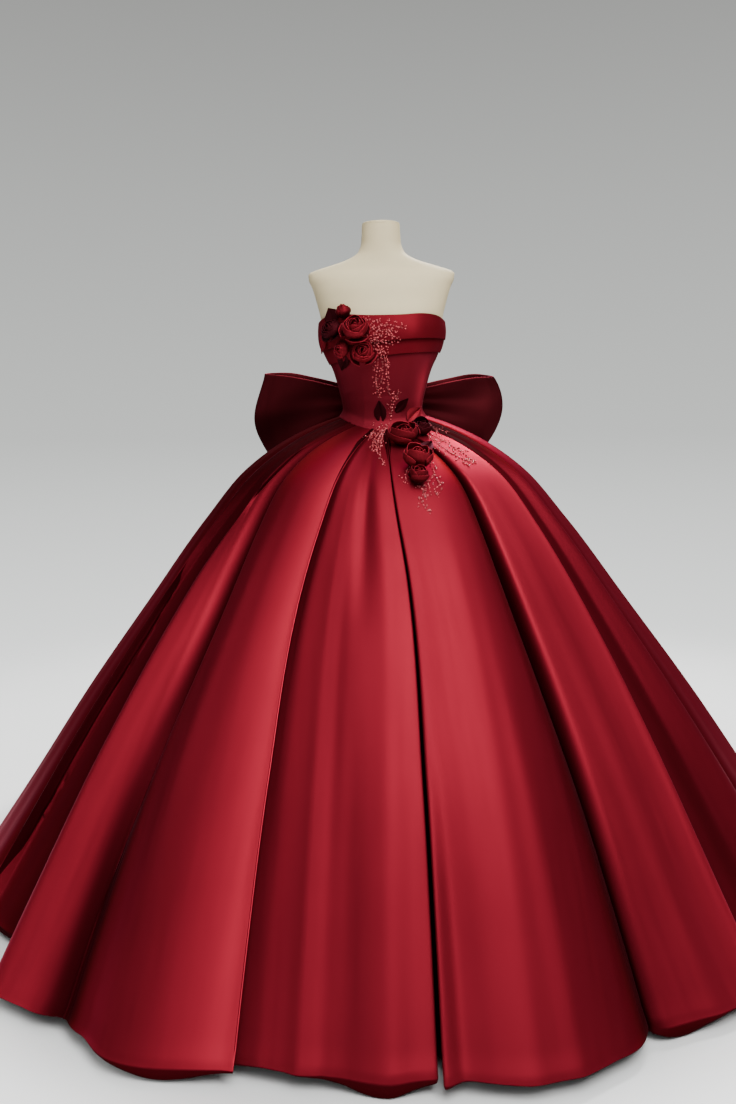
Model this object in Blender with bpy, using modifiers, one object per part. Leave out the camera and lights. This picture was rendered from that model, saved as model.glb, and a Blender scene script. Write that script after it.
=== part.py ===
"""A strapless ball gown with a deeply pleated skirt, on a limbless dress form and its stand.

Metres, +Z up. The origin is on the floor, under the pole. The front of the gown faces -Y,
and an azimuth is measured in degrees from the front (-Y) towards +X.
"""

import math
from enum import Enum
from typing import NamedTuple

import bmesh
import bpy
import numpy as np
from mathutils import Matrix, Vector

# ---------------------------------------------------------------- driving dimensions
CLOTH = 0.0014            # thickness of every cloth wall
SEAM_GAP = 0.0003         # space left between pieces that touch
COLLECTION_NAME = "ball_gown_on_dress_form"

WAIST_HEIGHT = 1.158      # waist seam at the side seams
BASQUE_DROP = 0.036       # how far the waist seam dips at the centre front
FRONT_TOP_HEIGHT = 1.397  # top edge of the bodice at the centre front
BACK_TOP_HEIGHT = 1.360   # top edge of the bodice at the centre back

NECK_TOP_HEIGHT = 1.634
NECK_CAP_RADIUS = 0.0475
NECK_CAP_HEIGHT = 0.006
NECK_CAP_EDGE = 0.0015    # rounding of the cap's upper rim
FORM_BOTTOM_HEIGHT = 0.930
POLE_RADIUS = 0.016
BASE_RADIUS = 0.200
BASE_HEIGHT = 0.010
BASE_EDGE = 0.004         # rounding of the base's upper rim
BODY_SQUARENESS = 2.2     # exponent of the form's superelliptic sections
BUST_AZIMUTH = 34.0
BUST_SPREAD = 20.0


# ---------------------------------------------------------------- tables
class BodySection(NamedTuple):
    """One level of the dress form: half width, depth to the front and back, bust fullness."""
    height: float
    half_width: float
    front: float
    back: float
    bust: float


BODY_SECTIONS = (
    BodySection(0.930, 0.150, 0.105, 0.120, 0.0),
    BodySection(0.970, 0.163, 0.112, 0.130, 0.0),
    BodySection(1.020, 0.158, 0.110, 0.124, 0.0),
    BodySection(1.080, 0.130, 0.098, 0.106, 0.0),
    BodySection(1.130, 0.104, 0.089, 0.090, 0.0),
    BodySection(1.165, 0.0985, 0.085, 0.086, 0.0),
    BodySection(1.200, 0.1025, 0.088, 0.088, 0.0),
    BodySection(1.240, 0.1125, 0.095, 0.093, 0.0),
    BodySection(1.280, 0.1250, 0.105, 0.099, 0.003),
    BodySection(1.310, 0.1390, 0.115, 0.104, 0.008),
    BodySection(1.340, 0.1500, 0.122, 0.108, 0.011),
    BodySection(1.370, 0.1540, 0.121, 0.110, 0.010),
    BodySection(1.400, 0.1550, 0.115, 0.111, 0.006),
    BodySection(1.440, 0.1640, 0.103, 0.112, 0.0),
    BodySection(1.480, 0.1755, 0.088, 0.108, 0.0),
    BodySection(1.506, 0.1850, 0.072, 0.094, 0.0),
    BodySection(1.520, 0.1810, 0.058, 0.076, 0.0),
    BodySection(1.532, 0.1450, 0.053, 0.064, 0.0),
    BodySection(1.545, 0.1020, 0.050, 0.056, 0.0),
    BodySection(1.560, 0.0690, 0.048, 0.050, 0.0),
    BodySection(1.580, 0.0535, 0.047, 0.048, 0.0),
    BodySection(1.605, 0.0495, 0.047, 0.047, 0.0),
    BodySection(1.634, 0.0480, 0.047, 0.047, 0.0),
)


class SkirtRing(NamedTuple):
    """One level of the skirt: crest radius, front dip, front-to-back ratio, pleat depth, lap."""
    height: float
    radius: float
    dip: float
    ratio: float
    pleat_depth: float
    lap: float          # degrees that a pleat laps over its neighbour


SKIRT_RINGS = (
    SkirtRing(1.158, 0.1120, BASQUE_DROP, 0.91, 0.0090, 3.4),
    SkirtRing(1.137, 0.1700, 0.032, 0.94, 0.0140, 3.4),
    SkirtRing(1.090, 0.2620, 0.018, 0.97, 0.0240, 3.5),
    SkirtRing(1.020, 0.3540, 0.006, 0.99, 0.0360, 3.6),
    SkirtRing(0.900, 0.4520, 0.0, 1.0, 0.0480, 3.8),
    SkirtRing(0.700, 0.5940, 0.0, 1.0, 0.0600, 4.0),
    SkirtRing(0.450, 0.7700, 0.0, 1.0, 0.0720, 4.2),
    SkirtRing(0.200, 0.9320, 0.0, 1.0, 0.0840, 4.3),
    SkirtRing(0.030, 1.0450, 0.0, 1.0, 0.0900, 4.3),
)


class Fold(Enum):
    """How two neighbouring skirt panels meet in a pleat."""
    BOX = "both edges turn under and meet in the middle"
    LEFT_OVER = "the left panel laps over the right one"
    RIGHT_OVER = "the right panel laps over the left one"
    VALLEY = "both panels round down into an open valley"


class FoldShape(NamedTuple):
    """Plan of a fold in units of lap (sideways, + to the right) and pleat depth (inwards)."""
    left_side: tuple
    seam: tuple
    right_side: tuple
    gap_direction: tuple    # sideways and inwards, from the left panel's end to the right's


FOLD_SHAPES = {
    Fold.BOX: FoldShape(
        ((-0.35, 0.0), (-0.04, 0.06), (-0.55, 0.48)), (0.0, 1.0),
        ((0.55, 0.48), (0.04, 0.06), (0.35, 0.0)), (1.0, 0.0)),
    Fold.LEFT_OVER: FoldShape(
        ((-0.40, 0.0), (-0.02, 0.05), (-0.40, 0.42)), (-1.0, 0.74),
        ((0.15, 0.62), (1.0, 0.14)), (0.0, 1.0)),
    Fold.RIGHT_OVER: FoldShape(
        ((-1.0, 0.14), (-0.15, 0.62)), (1.0, 0.74),
        ((0.40, 0.42), (0.02, 0.05), (0.40, 0.0)), (0.0, -1.0)),
    Fold.VALLEY: FoldShape(
        ((-1.1, 0.03), (-0.5, 0.36)), (0.0, 1.0),
        ((0.5, 0.36), (1.1, 0.03)), (1.0, 0.0)),
}


class Pleat(NamedTuple):
    """A pleat between two skirt panels: its azimuth at the waist, knee and hem."""
    at_waist: float
    at_knee: float
    at_hem: float
    fold: Fold
    swell: float        # how far the panel to its right bulges past the ring, at the hem


PLEATS = (
    Pleat(3.3, 5.8, 4.9, Fold.BOX, 0.012),
    Pleat(22.0, 29.2, 26.5, Fold.RIGHT_OVER, 0.006),
    Pleat(41.0, 48.7, 45.5, Fold.LEFT_OVER, 0.020),
    Pleat(62.0, 68.0, 66.0, Fold.VALLEY, 0.016),
    Pleat(88.0, 91.0, 90.5, Fold.LEFT_OVER, 0.014),
    Pleat(113.0, 115.0, 116.0, Fold.VALLEY, 0.018),
    Pleat(137.0, 139.0, 140.0, Fold.RIGHT_OVER, 0.012),
    Pleat(162.0, 164.0, 165.0, Fold.VALLEY, 0.014),
    Pleat(187.0, 189.5, 189.0, Fold.LEFT_OVER, 0.016),
    Pleat(212.0, 214.0, 213.5, Fold.BOX, 0.012),
    Pleat(237.0, 239.0, 238.5, Fold.VALLEY, 0.018),
    Pleat(262.0, 264.0, 263.0, Fold.RIGHT_OVER, 0.014),
    Pleat(288.0, 287.0, 288.5, Fold.VALLEY, 0.008),
    Pleat(314.0, 306.0, 310.5, Fold.RIGHT_OVER, 0.036),
    Pleat(328.0, 323.5, 325.5, Fold.VALLEY, 0.024),
    Pleat(349.0, 340.8, 344.4, Fold.LEFT_OVER, 0.004),
)
KNEE_RING = 5                       # ring of SKIRT_RINGS that at_knee belongs to
PANEL_STATIONS = (0.25, 0.5, 0.75)  # places of the points across a panel's face


class Bloom(NamedTuple):
    """A fabric flower or bud: place on the gown, radius and how far it stands out."""
    name: str
    azimuth: float
    height: float
    radius: float
    rise: float
    lobes: int
    lift: float         # its back's distance from the cloth that carries it
    layer: int = 0      # how many bands lie under it


BUST_BLOOMS = (
    Bloom("bust_bud_top", -35.0, 1.407, 0.018, 0.024, 3, 0.0003, 2),
    Bloom("bust_bloom_centre", -24.0, 1.365, 0.026, 0.026, 5, 0.0003, 2),
    Bloom("bust_bloom_left", -49.0, 1.364, 0.0235, 0.022, 5, 0.0003, 2),
    Bloom("bust_bloom_low_right", -20.0, 1.312, 0.0195, 0.020, 4, 0.0003, 1),
    Bloom("bust_bloom_low_left", -43.0, 1.308, 0.0195, 0.018, 4, 0.0001, 1),
)
WAIST_BLOOMS = (
    Bloom("waist_bloom_upper", 15.0, 1.113, 0.0280, 0.028, 5, 0.0009),
    Bloom("waist_bloom_side", 32.0, 1.124, 0.0160, 0.020, 4, 0.0006),
    Bloom("waist_bloom_middle", 13.0, 1.056, 0.0300, 0.030, 5, 0.0012),
    Bloom("waist_bud_low", 12.0, 1.004, 0.0190, 0.024, 3, 0.0014),
)


class Leaf(NamedTuple):
    """A flat stiffened petal or leaf: place, length, width and turn of its tip from upright."""
    name: str
    azimuth: float
    height: float
    length: float
    width: float
    turn: float
    lift: float         # its back's distance from the cloth that carries it
    layer: int = 0      # how many bands lie under it


BUST_LEAVES = (
    Leaf("bust_leaf_top", -55.0, 1.404, 0.034, 0.022, 40.0, 0.0008, 2),
    Leaf("bust_leaf_side", -75.0, 1.356, 0.032, 0.018, 100.0, 0.0003, 2),
    Leaf("bust_leaf_low", -62.0, 1.309, 0.030, 0.016, 175.0, 0.0003, 1),
)
BODICE_LEAVES = (
    Leaf("waist_leaf_upright", -5.0, 1.172, 0.048, 0.022, 0.0, 0.0035),
    Leaf("waist_leaf_slant", 33.0, 1.184, 0.034, 0.014, -50.0, 0.0017),
    Leaf("waist_petal_arc", 58.0, 1.174, 0.030, 0.016, -70.0, 0.0027),
)
SKIRT_LEAVES = (
    Leaf("waist_leaf_pointed", 23.0, 1.074, 0.044, 0.022, -150.0, 0.0006),
)


class Band(NamedTuple):
    """A folded band across the bodice front: its lower edge, its slant and its layer."""
    name: str
    lower_height: float
    slant: float            # rise of the lower edge for each metre to the right
    top_setback: float      # how far its upper edge lies below the bodice's
    layer: int              # 1 lies on the bodice, 2 lies on layer 1


BANDS = (
    Band("bodice_band_lower", 1.304, 0.10, 0.004, 1),
    Band("bodice_band_upper", 1.337, 0.08, 0.0, 2),
)


class BowStation(NamedTuple):
    """A place along a bow loop: plan position and the height of its two edges."""
    reach: float
    depth: float
    top: float
    bottom: float


BOW_RIGHT = (
    BowStation(0.0315, 0.118, 1.216, 1.164),
    BowStation(0.070, 0.112, 1.224, 1.162),
    BowStation(0.120, 0.110, 1.233, 1.153),
    BowStation(0.185, 0.112, 1.247, 1.128),
    BowStation(0.245, 0.120, 1.257, 1.103),
    BowStation(0.288, 0.132, 1.261, 1.085),
    BowStation(0.307, 0.150, 1.264, 1.078),
    BowStation(0.288, 0.172, 1.268, 1.082),
    BowStation(0.245, 0.188, 1.270, 1.095),
    BowStation(0.185, 0.192, 1.260, 1.115),
    BowStation(0.120, 0.176, 1.246, 1.140),
    BowStation(0.070, 0.156, 1.232, 1.156),
    BowStation(0.0315, 0.144, 1.218, 1.164),
)
BOW_LEFT_STRETCH = 1.10     # the left loop reaches this much further
BOW_LEFT_DROP = 0.016       # and its outer end hangs this much lower
BOW_SIDE_BULGE = 0.022      # how far the outer end bulges between its edges
BOW_ROWS = (0.0, 0.3, 0.7, 1.0)

KNOT_SIZE = (0.062, 0.060, 0.068)
KNOT_PLACE = (0.0, 0.1236, 1.199)


# ---------------------------------------------------------------- interpolation and frames
def read_rows(rows, places, at):
    """Smoothly interpolate the columns of a table; `places` is its falling or rising key."""
    keys = np.array(places)
    table = np.array(rows, dtype=float)
    if keys[0] > keys[-1]:
        keys, table = keys[::-1], table[::-1]
    slopes = np.gradient(table, keys, axis=0)
    at = min(max(at, keys[0]), keys[-1])
    i = min(int(np.searchsorted(keys, at, side="right")) - 1, len(keys) - 2)
    span = keys[i + 1] - keys[i]
    t = (at - keys[i]) / span
    ease = t * t * (3.0 - 2.0 * t)
    start_pull = t * (1.0 - t) ** 2 * span
    end_pull = t * t * (t - 1.0) * span
    return (table[i] * (1.0 - ease) + table[i + 1] * ease
            + slopes[i] * start_pull + slopes[i + 1] * end_pull)


def signed_power(value, exponent):
    """Raise the size of a number to a power and keep its sign."""
    return math.copysign(abs(value) ** exponent, value)


def body_surface(azimuth, height):
    """Point on the dress form's surface."""
    columns = [section[1:] for section in BODY_SECTIONS]
    heights = [section.height for section in BODY_SECTIONS]
    half_width, front, back, bust = read_rows(columns, heights, height)
    angle = math.radians(azimuth)
    across = signed_power(math.sin(angle), 2.0 / BODY_SQUARENESS)
    forward = signed_power(math.cos(angle), 2.0 / BODY_SQUARENESS)
    depth = front if forward > 0.0 else back
    signed_azimuth = (azimuth + 180.0) % 360.0 - 180.0
    cup = math.exp(-((abs(signed_azimuth) - BUST_AZIMUTH) / BUST_SPREAD) ** 2)
    return Vector((half_width * across, -depth * forward - bust * cup, height))


def frame_at(surface, azimuth, height):
    """Point, outward normal and upward tangent of a surface of azimuth and height."""
    step_azimuth, step_height = 0.5, 0.002
    point = surface(azimuth, height)
    along = surface(azimuth + step_azimuth, height) - surface(azimuth - step_azimuth, height)
    up = surface(azimuth, height + step_height) - surface(azimuth, height - step_height)
    normal = along.cross(up).normalized()
    return point, normal, up.normalized()


def body_offset(azimuth, height, distance):
    """Point at a distance outside the dress form's surface."""
    point, normal, _ = frame_at(body_surface, azimuth, height)
    return point + normal * distance


def skirt_ring(height):
    """Ring of the skirt's faceted wall at a side height."""
    rising = SKIRT_RINGS[::-1]
    heights = [ring.height for ring in rising]
    return SkirtRing(height, *(float(np.interp(height, heights, column))
                               for column in list(zip(*rising))[1:]))


def basque(azimuth):
    """How strongly the front dip acts at an azimuth: 1 at the centre front, 0 at the sides."""
    return max(0.0, math.cos(math.radians(azimuth))) ** 2


def skirt_point(ring, azimuth, depth):
    """Point of the skirt on a ring, set in from its crest by a depth."""
    angle = math.radians(azimuth)
    radius = ring.radius - depth
    drop = ring.dip * basque(azimuth)
    return Vector((radius * math.sin(angle), -radius * ring.ratio * math.cos(angle),
                   ring.height - drop))


def skirt_surface(azimuth, height):
    """Point on the skirt's crest surface at a side height."""
    return skirt_point(skirt_ring(height), azimuth, 0.0)


def skirt_height_for(azimuth, height):
    """Side height of the ring that passes through a real height at an azimuth."""
    side_height = height
    for _ in range(8):
        side_height += height - skirt_surface(azimuth, side_height).z
    return side_height


# ---------------------------------------------------------------- Blender helpers
def clear_scene():
    """Remove every object of the scene."""
    for old in list(bpy.data.objects):
        bpy.data.objects.remove(old, do_unlink=True)


def make_collection(name):
    """Add a collection to the scene."""
    collection = bpy.data.collections.new(name)
    bpy.context.scene.collection.children.link(collection)
    return collection


def make_material(name, colour, roughness, metallic=0.0):
    """Principled material of one colour."""
    material = bpy.data.materials.new(name)
    material.use_nodes = True
    shader = material.node_tree.nodes["Principled BSDF"]
    shader.inputs["Base Color"].default_value = (*colour, 1.0)
    shader.inputs["Roughness"].default_value = roughness
    shader.inputs["Metallic"].default_value = metallic
    return material


def make_object(name, mesh, material, collection):
    """Object of a mesh, with its own copy of a material, in a collection."""
    own_material = material.copy()
    own_material.name = f"{name}_{material.name}"
    mesh.materials.append(own_material)
    mesh.shade_smooth()
    mesh.set_sharp_from_angle(angle=math.radians(40.0))
    made = bpy.data.objects.new(name, mesh)
    collection.objects.link(made)
    return made


def grid_mesh(name, rows):
    """Open mesh of quads through rows of points, its faces pointing outwards."""
    columns = len(rows[0])
    points = [point for row in rows for point in row]
    faces = []
    for r in range(len(rows) - 1):
        for c in range(columns - 1):
            first = r * columns + c
            faces.append((first, first + columns, first + columns + 1, first + 1))
    mesh = bpy.data.meshes.new(name)
    mesh.from_pydata(points, [], faces)
    return mesh


def cloth_wall(name, rows, material, collection):
    """Cloth piece: a surface through rows of points from top to bottom, thickened inwards."""
    wall = make_object(name, grid_mesh(name, rows), material, collection)
    thickness = wall.modifiers.new("Thickness", "SOLIDIFY")
    thickness.thickness = CLOTH
    thickness.offset = -1.0
    thickness.use_even_offset = True
    return wall


def bmesh_object(name, shape, material, collection):
    """Object made from a bmesh, which is freed."""
    mesh = bpy.data.meshes.new(name)
    shape.to_mesh(mesh)
    shape.free()
    return make_object(name, mesh, material, collection)


# ---------------------------------------------------------------- dress form and stand
FORM_COLUMNS = 24


def build_form(collection, linen, metal):
    """Torso and neck, neck cap, pole and base."""
    rings = []
    for section in BODY_SECTIONS:
        step = 360.0 / FORM_COLUMNS
        rings.append([body_surface(column * step, section.height) for column in range(FORM_COLUMNS)])
    shape = bmesh.new()
    levels = [[shape.verts.new(point) for point in ring] for ring in rings]
    for lower, upper in zip(levels, levels[1:]):
        for c in range(FORM_COLUMNS):
            following = (c + 1) % FORM_COLUMNS
            shape.faces.new((lower[c], lower[following], upper[following], upper[c]))
    shape.faces.new(list(reversed(levels[0])))
    shape.faces.new(levels[-1])
    bmesh_object("form_torso", shape, linen, collection)

    cap_bottom = NECK_TOP_HEIGHT + SEAM_GAP
    add_cylinder("form_neck_cap", NECK_CAP_RADIUS, cap_bottom, cap_bottom + NECK_CAP_HEIGHT,
                 NECK_CAP_EDGE, linen, collection)
    add_cylinder("stand_pole", POLE_RADIUS, BASE_HEIGHT + SEAM_GAP, FORM_BOTTOM_HEIGHT - SEAM_GAP,
                 0.0, metal, collection)
    add_cylinder("stand_base", BASE_RADIUS, 0.0, BASE_HEIGHT, BASE_EDGE, metal, collection)


def add_cylinder(name, radius, bottom, top, edge, material, collection):
    """Upright round piece with an optional rounded upper edge."""
    shape = bmesh.new()
    bmesh.ops.create_cone(shape, cap_ends=True, segments=24, radius1=radius, radius2=radius,
                          depth=top - bottom)
    bmesh.ops.translate(shape, verts=shape.verts, vec=(0.0, 0.0, (top + bottom) / 2.0))
    if edge:
        rim = [e for e in shape.edges if all(v.co.z > (top + bottom) / 2.0 for v in e.verts)]
        bmesh.ops.bevel(shape, geom=rim, offset=edge, segments=2, affect="EDGES", profile=0.5)
    bmesh_object(name, shape, material, collection)


# ---------------------------------------------------------------- bodice
FRONT_COLUMN = 7.5                      # degrees between the columns of the bodice front
BACK_COLUMN = 15.0                      # and between those of the backs
BODICE_STEP = 0.022                     # rows under the top edge, shared with the bands
BODICE_STEPS = 5
BODICE_LOWER_SHARES = (0.3, 0.6, 0.85, 1.0)
BODICE_STANDOFF = CLOTH + 0.0013        # the cloth's outer face, from the form
LAYER = CLOTH + 0.0008                  # how far each further layer lies out
FLARE_HEIGHT = 0.025                    # the bodice flares over this height above its seam
WAIST_SEAM_GAP = 0.0026                 # leaves room for the pleats' rolled upper ends


def bodice_top(azimuth):
    """Height of the bodice's top edge."""
    share = (1.0 - math.cos(math.radians(azimuth))) / 2.0
    return FRONT_TOP_HEIGHT + (BACK_TOP_HEIGHT - FRONT_TOP_HEIGHT) * share ** 2


def bodice_bottom(azimuth):
    """Height of the waist seam, at the bodice's lower edge."""
    return WAIST_HEIGHT - BASQUE_DROP * basque(azimuth) + WAIST_SEAM_GAP


def bodice_point(azimuth, height):
    """Point on the bodice's outer face, which flares to meet the skirt at its lower edge."""
    hugging = body_offset(azimuth, height, BODICE_STANDOFF)
    rise = (height - bodice_bottom(azimuth)) / FLARE_HEIGHT
    if rise >= 1.0:
        return hugging
    edge = skirt_surface(azimuth, WAIST_HEIGHT)
    share = (1.0 - rise) ** 2
    return Vector((hugging.x * (1.0 - share) + edge.x * share,
                   hugging.y * (1.0 - share) + edge.y * share, height))


def bodice_rows(start, end, column):
    """Rows of a bodice piece between two azimuths, from its top edge to the waist seam."""
    azimuths = np.linspace(start, end, round((end - start) / column) + 1)
    upper = [[bodice_point(a, bodice_top(a) - step * BODICE_STEP) for a in azimuths]
             for step in range(BODICE_STEPS + 1)]
    lower = []
    for share in BODICE_LOWER_SHARES:
        row = []
        for azimuth in azimuths:
            bend = bodice_top(azimuth) - BODICE_STEPS * BODICE_STEP
            height = bend + (bodice_bottom(azimuth) - bend) * share
            row.append(bodice_point(azimuth, height))
        lower.append(row)
    return upper + lower


def band_lower_edge(band, azimuth):
    """Height of a band's slanted lower edge."""
    return band.lower_height + band.slant * body_surface(azimuth, band.lower_height).x


def band_rows(band, start, end):
    """Rows of a band, from under the bodice's top edge to its own slanted lower edge."""
    azimuths = np.linspace(start, end, round((end - start) / FRONT_COLUMN) + 1)
    narrowest = min(bodice_top(a) - band_lower_edge(band, a) for a in azimuths)
    shared_rows = int(narrowest / BODICE_STEP) + 1
    distance = BODICE_STANDOFF + band.layer * LAYER
    columns = []
    for azimuth in azimuths:
        lower = band_lower_edge(band, azimuth)
        heights = [bodice_top(azimuth) - step * BODICE_STEP for step in range(shared_rows)]
        middle = (heights[-1] + lower) / 2.0
        heights[0] -= band.top_setback
        columns.append([body_offset(azimuth, height, distance)
                        for height in heights + [middle, lower]])
    return [list(row) for row in zip(*columns)]


def build_bodice(collection, satin):
    """Bodice front, the two backs, and the folded bands across the front."""
    trim = math.degrees(SEAM_GAP / 0.10)
    cloth_wall("bodice_front", bodice_rows(-90.0 + trim, 90.0 - trim, FRONT_COLUMN), satin,
               collection)
    cloth_wall("bodice_back_right", bodice_rows(90.0 + trim, 180.0 - trim, BACK_COLUMN), satin,
               collection)
    cloth_wall("bodice_back_left", bodice_rows(180.0 + trim, 270.0 - trim, BACK_COLUMN), satin,
               collection)
    for band in BANDS:
        cloth_wall(band.name, band_rows(band, -90.0 + trim, 90.0 - trim), satin, collection)


# ---------------------------------------------------------------- skirt
def pleat_azimuth(pleat, ring_index):
    """Azimuth of a pleat on a ring."""
    last = len(SKIRT_RINGS) - 1
    return float(np.interp(ring_index, (0, KNEE_RING, last),
                           (pleat.at_waist, pleat.at_knee, pleat.at_hem)))


def seam_offset(ring, gap_direction, side):
    """Half the seam gap as (lap share, depth share) on a ring; side is -1 left, +1 right."""
    half_gap = SEAM_GAP * 1.8 * side
    lap_length = math.radians(ring.lap) * ring.radius
    return (half_gap * gap_direction[0] / lap_length,
            half_gap * gap_direction[1] / ring.pleat_depth)


def panel_row(ring_index, left_pleat, right_pleat):
    """Points of one panel on one ring, from its left seam to its right seam."""
    ring = SKIRT_RINGS[ring_index]
    start = pleat_azimuth(left_pleat, ring_index)
    end = pleat_azimuth(right_pleat, ring_index)
    if end < start:
        end += 360.0
    left_shape, right_shape = FOLD_SHAPES[left_pleat.fold], FOLD_SHAPES[right_pleat.fold]

    def at_fold(azimuth, lap_share, depth_share):
        return skirt_point(ring, azimuth + lap_share * ring.lap, depth_share * ring.pleat_depth)

    left_gap = seam_offset(ring, left_shape.gap_direction, 1.0)
    right_gap = seam_offset(ring, right_shape.gap_direction, -1.0)
    row = [at_fold(start, left_shape.seam[0] + left_gap[0], left_shape.seam[1] + left_gap[1])]
    row += [at_fold(start, *place) for place in left_shape.right_side]

    face_start = start + left_shape.right_side[-1][0] * ring.lap
    face_end = end + right_shape.left_side[0][0] * ring.lap
    swell = left_pleat.swell * (ring.radius / SKIRT_RINGS[-1].radius) ** 2
    for station in PANEL_STATIONS:
        azimuth = face_start + (face_end - face_start) * station
        row.append(skirt_point(ring, azimuth, -swell * math.sin(math.pi * station)))

    row += [at_fold(end, *place) for place in right_shape.left_side]
    row.append(at_fold(end, right_shape.seam[0] + right_gap[0], right_shape.seam[1] + right_gap[1]))
    return row


def build_skirt(collection, satin):
    """One cloth wall for each panel between two pleats, all the way round."""
    for i, pleat in enumerate(PLEATS):
        following = PLEATS[(i + 1) % len(PLEATS)]
        rows = [panel_row(r, pleat, following) for r in range(len(SKIRT_RINGS))]
        cloth_wall(f"skirt_panel_{i + 1:02d}", rows, satin, collection)


# ---------------------------------------------------------------- bow
def bow_rows(side, stretch, drop):
    """Rows of points of a bow loop, from its top edge to its bottom edge."""
    full_reach = max(station.reach for station in BOW_RIGHT)
    rows = []
    for share in BOW_ROWS:
        row = []
        for station in BOW_RIGHT:
            spread = station.reach / full_reach
            bulge = BOW_SIDE_BULGE * math.sin(math.pi * share) * spread ** 6
            reach = station.reach + (stretch - 1.0) * (station.reach - BOW_RIGHT[0].reach) + bulge
            height = station.top + (station.bottom - station.top) * share
            row.append(Vector((side * reach, station.depth, height - drop * share * spread)))
        rows.append(row if side > 0 else row[::-1])
    return rows


def build_bow(collection, satin):
    """Two loops and the knot at the back of the waist."""
    cloth_wall("bow_loop_right", bow_rows(1.0, 1.0, 0.0), satin, collection)
    cloth_wall("bow_loop_left", bow_rows(-1.0, BOW_LEFT_STRETCH, BOW_LEFT_DROP), satin, collection)

    shape = bmesh.new()
    bmesh.ops.create_cube(shape, size=1.0)
    bmesh.ops.scale(shape, vec=KNOT_SIZE, verts=shape.verts)
    bmesh.ops.bevel(shape, geom=shape.edges[:], offset=0.012, segments=2, affect="EDGES",
                    profile=0.5)
    bmesh.ops.translate(shape, vec=KNOT_PLACE, verts=shape.verts)
    bmesh_object("bow_knot", shape, satin, collection)


# ---------------------------------------------------------------- flowers and leaves
BLOOM_LOBE = 0.07           # how far the lobes swell, as a share of the radius
BLOOM_BACK_LEVEL = -0.38    # the unit sphere is cut flat here, where the flower is sewn on
BLOOM_BACK_SHARE = 0.86     # and drawn in to this share of its radius
LEAF_STEPS = 5
LEAF_FULLNESS = 0.55        # half width of a leaf at its widest, as a share of `width`
LEAF_TAPER = 0.25


def placing_matrix(point, normal, up, turn_degrees=0.0):
    """Matrix that stands a piece on a surface: local Z outwards, local Y turned from up."""
    turned_up = Matrix.Rotation(math.radians(turn_degrees), 3, normal) @ up
    across = turned_up.cross(normal).normalized()
    turned_up = normal.cross(across).normalized()
    basis = Matrix((across, turned_up, normal)).transposed().to_4x4()
    basis.translation = point
    return basis


def bloom_object(bloom, placing, material, collection):
    """Lobed dome of a gathered flower, flat where it is sewn on."""
    shape = bmesh.new()
    bmesh.ops.create_uvsphere(shape, u_segments=12, v_segments=8, radius=1.0)
    height = bloom.rise / (1.0 - BLOOM_BACK_LEVEL)
    for vertex in shape.verts:
        x, y, z = vertex.co
        lobe = 1.0 + BLOOM_LOBE * math.cos(bloom.lobes * math.atan2(y, x)) * math.hypot(x, y)
        stem = BLOOM_BACK_SHARE if z < BLOOM_BACK_LEVEL / 2.0 else 1.0
        vertex.co = (x * bloom.radius * lobe * stem, y * bloom.radius * lobe * stem,
                     (max(z, BLOOM_BACK_LEVEL) - BLOOM_BACK_LEVEL) * height)
    bmesh.ops.remove_doubles(shape, verts=shape.verts, dist=1e-5)
    bmesh.ops.transform(shape, matrix=placing, verts=shape.verts)
    bmesh_object(bloom.name, shape, material, collection)


def leaf_object(leaf, placing, material, collection):
    """Flat pointed leaf of double cloth."""
    right_edge = []
    for i in range(LEAF_STEPS + 1):
        along = i / LEAF_STEPS
        bow = math.sin(math.pi * along) ** 0.8 * (1.0 - LEAF_TAPER * along)
        right_edge.append((bow * leaf.width * LEAF_FULLNESS, (along - 0.5) * leaf.length))
    outline = right_edge + [(-x, y) for x, y in reversed(right_edge[1:-1])]
    shape = bmesh.new()
    lower = [shape.verts.new((x, y, 0.0)) for x, y in outline]
    face = shape.faces.new(lower)
    raised = bmesh.ops.extrude_face_region(shape, geom=[face])["geom"]
    top_verts = [item for item in raised if isinstance(item, bmesh.types.BMVert)]
    bmesh.ops.translate(shape, vec=(0.0, 0.0, CLOTH), verts=top_verts)
    bmesh.ops.recalc_face_normals(shape, faces=shape.faces)
    bmesh.ops.transform(shape, matrix=placing, verts=shape.verts)
    bmesh_object(leaf.name, shape, material, collection)


def sewn_on(surface, piece, distance, turn=0.0):
    """Matrix that lays a flower or leaf at a distance outside a surface."""
    point, normal, up = frame_at(surface, piece.azimuth, piece.height)
    return placing_matrix(point + normal * distance, normal, up, turn)


def skirt_at_height(azimuth, height):
    """Point on the skirt's crest surface at a real height."""
    return skirt_surface(azimuth, skirt_height_for(azimuth, height))


def build_flowers(collection, dark_satin):
    """The bust cluster on the bands, and the waist cluster on the bodice and skirt."""
    for bloom in BUST_BLOOMS:
        distance = BODICE_STANDOFF + bloom.layer * LAYER + bloom.lift
        bloom_object(bloom, sewn_on(body_surface, bloom, distance), dark_satin, collection)
    for leaf in BUST_LEAVES:
        distance = BODICE_STANDOFF + leaf.layer * LAYER + leaf.lift
        leaf_object(leaf, sewn_on(body_surface, leaf, distance, leaf.turn), dark_satin, collection)
    for bloom in WAIST_BLOOMS:
        bloom_object(bloom, sewn_on(skirt_at_height, bloom, bloom.lift), dark_satin, collection)
    for leaf in BODICE_LEAVES:
        leaf_object(leaf, sewn_on(bodice_point, leaf, leaf.lift, leaf.turn), dark_satin,
                    collection)
    for leaf in SKIRT_LEAVES:
        leaf_object(leaf, sewn_on(skirt_at_height, leaf, leaf.lift, leaf.turn), dark_satin,
                    collection)


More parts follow.
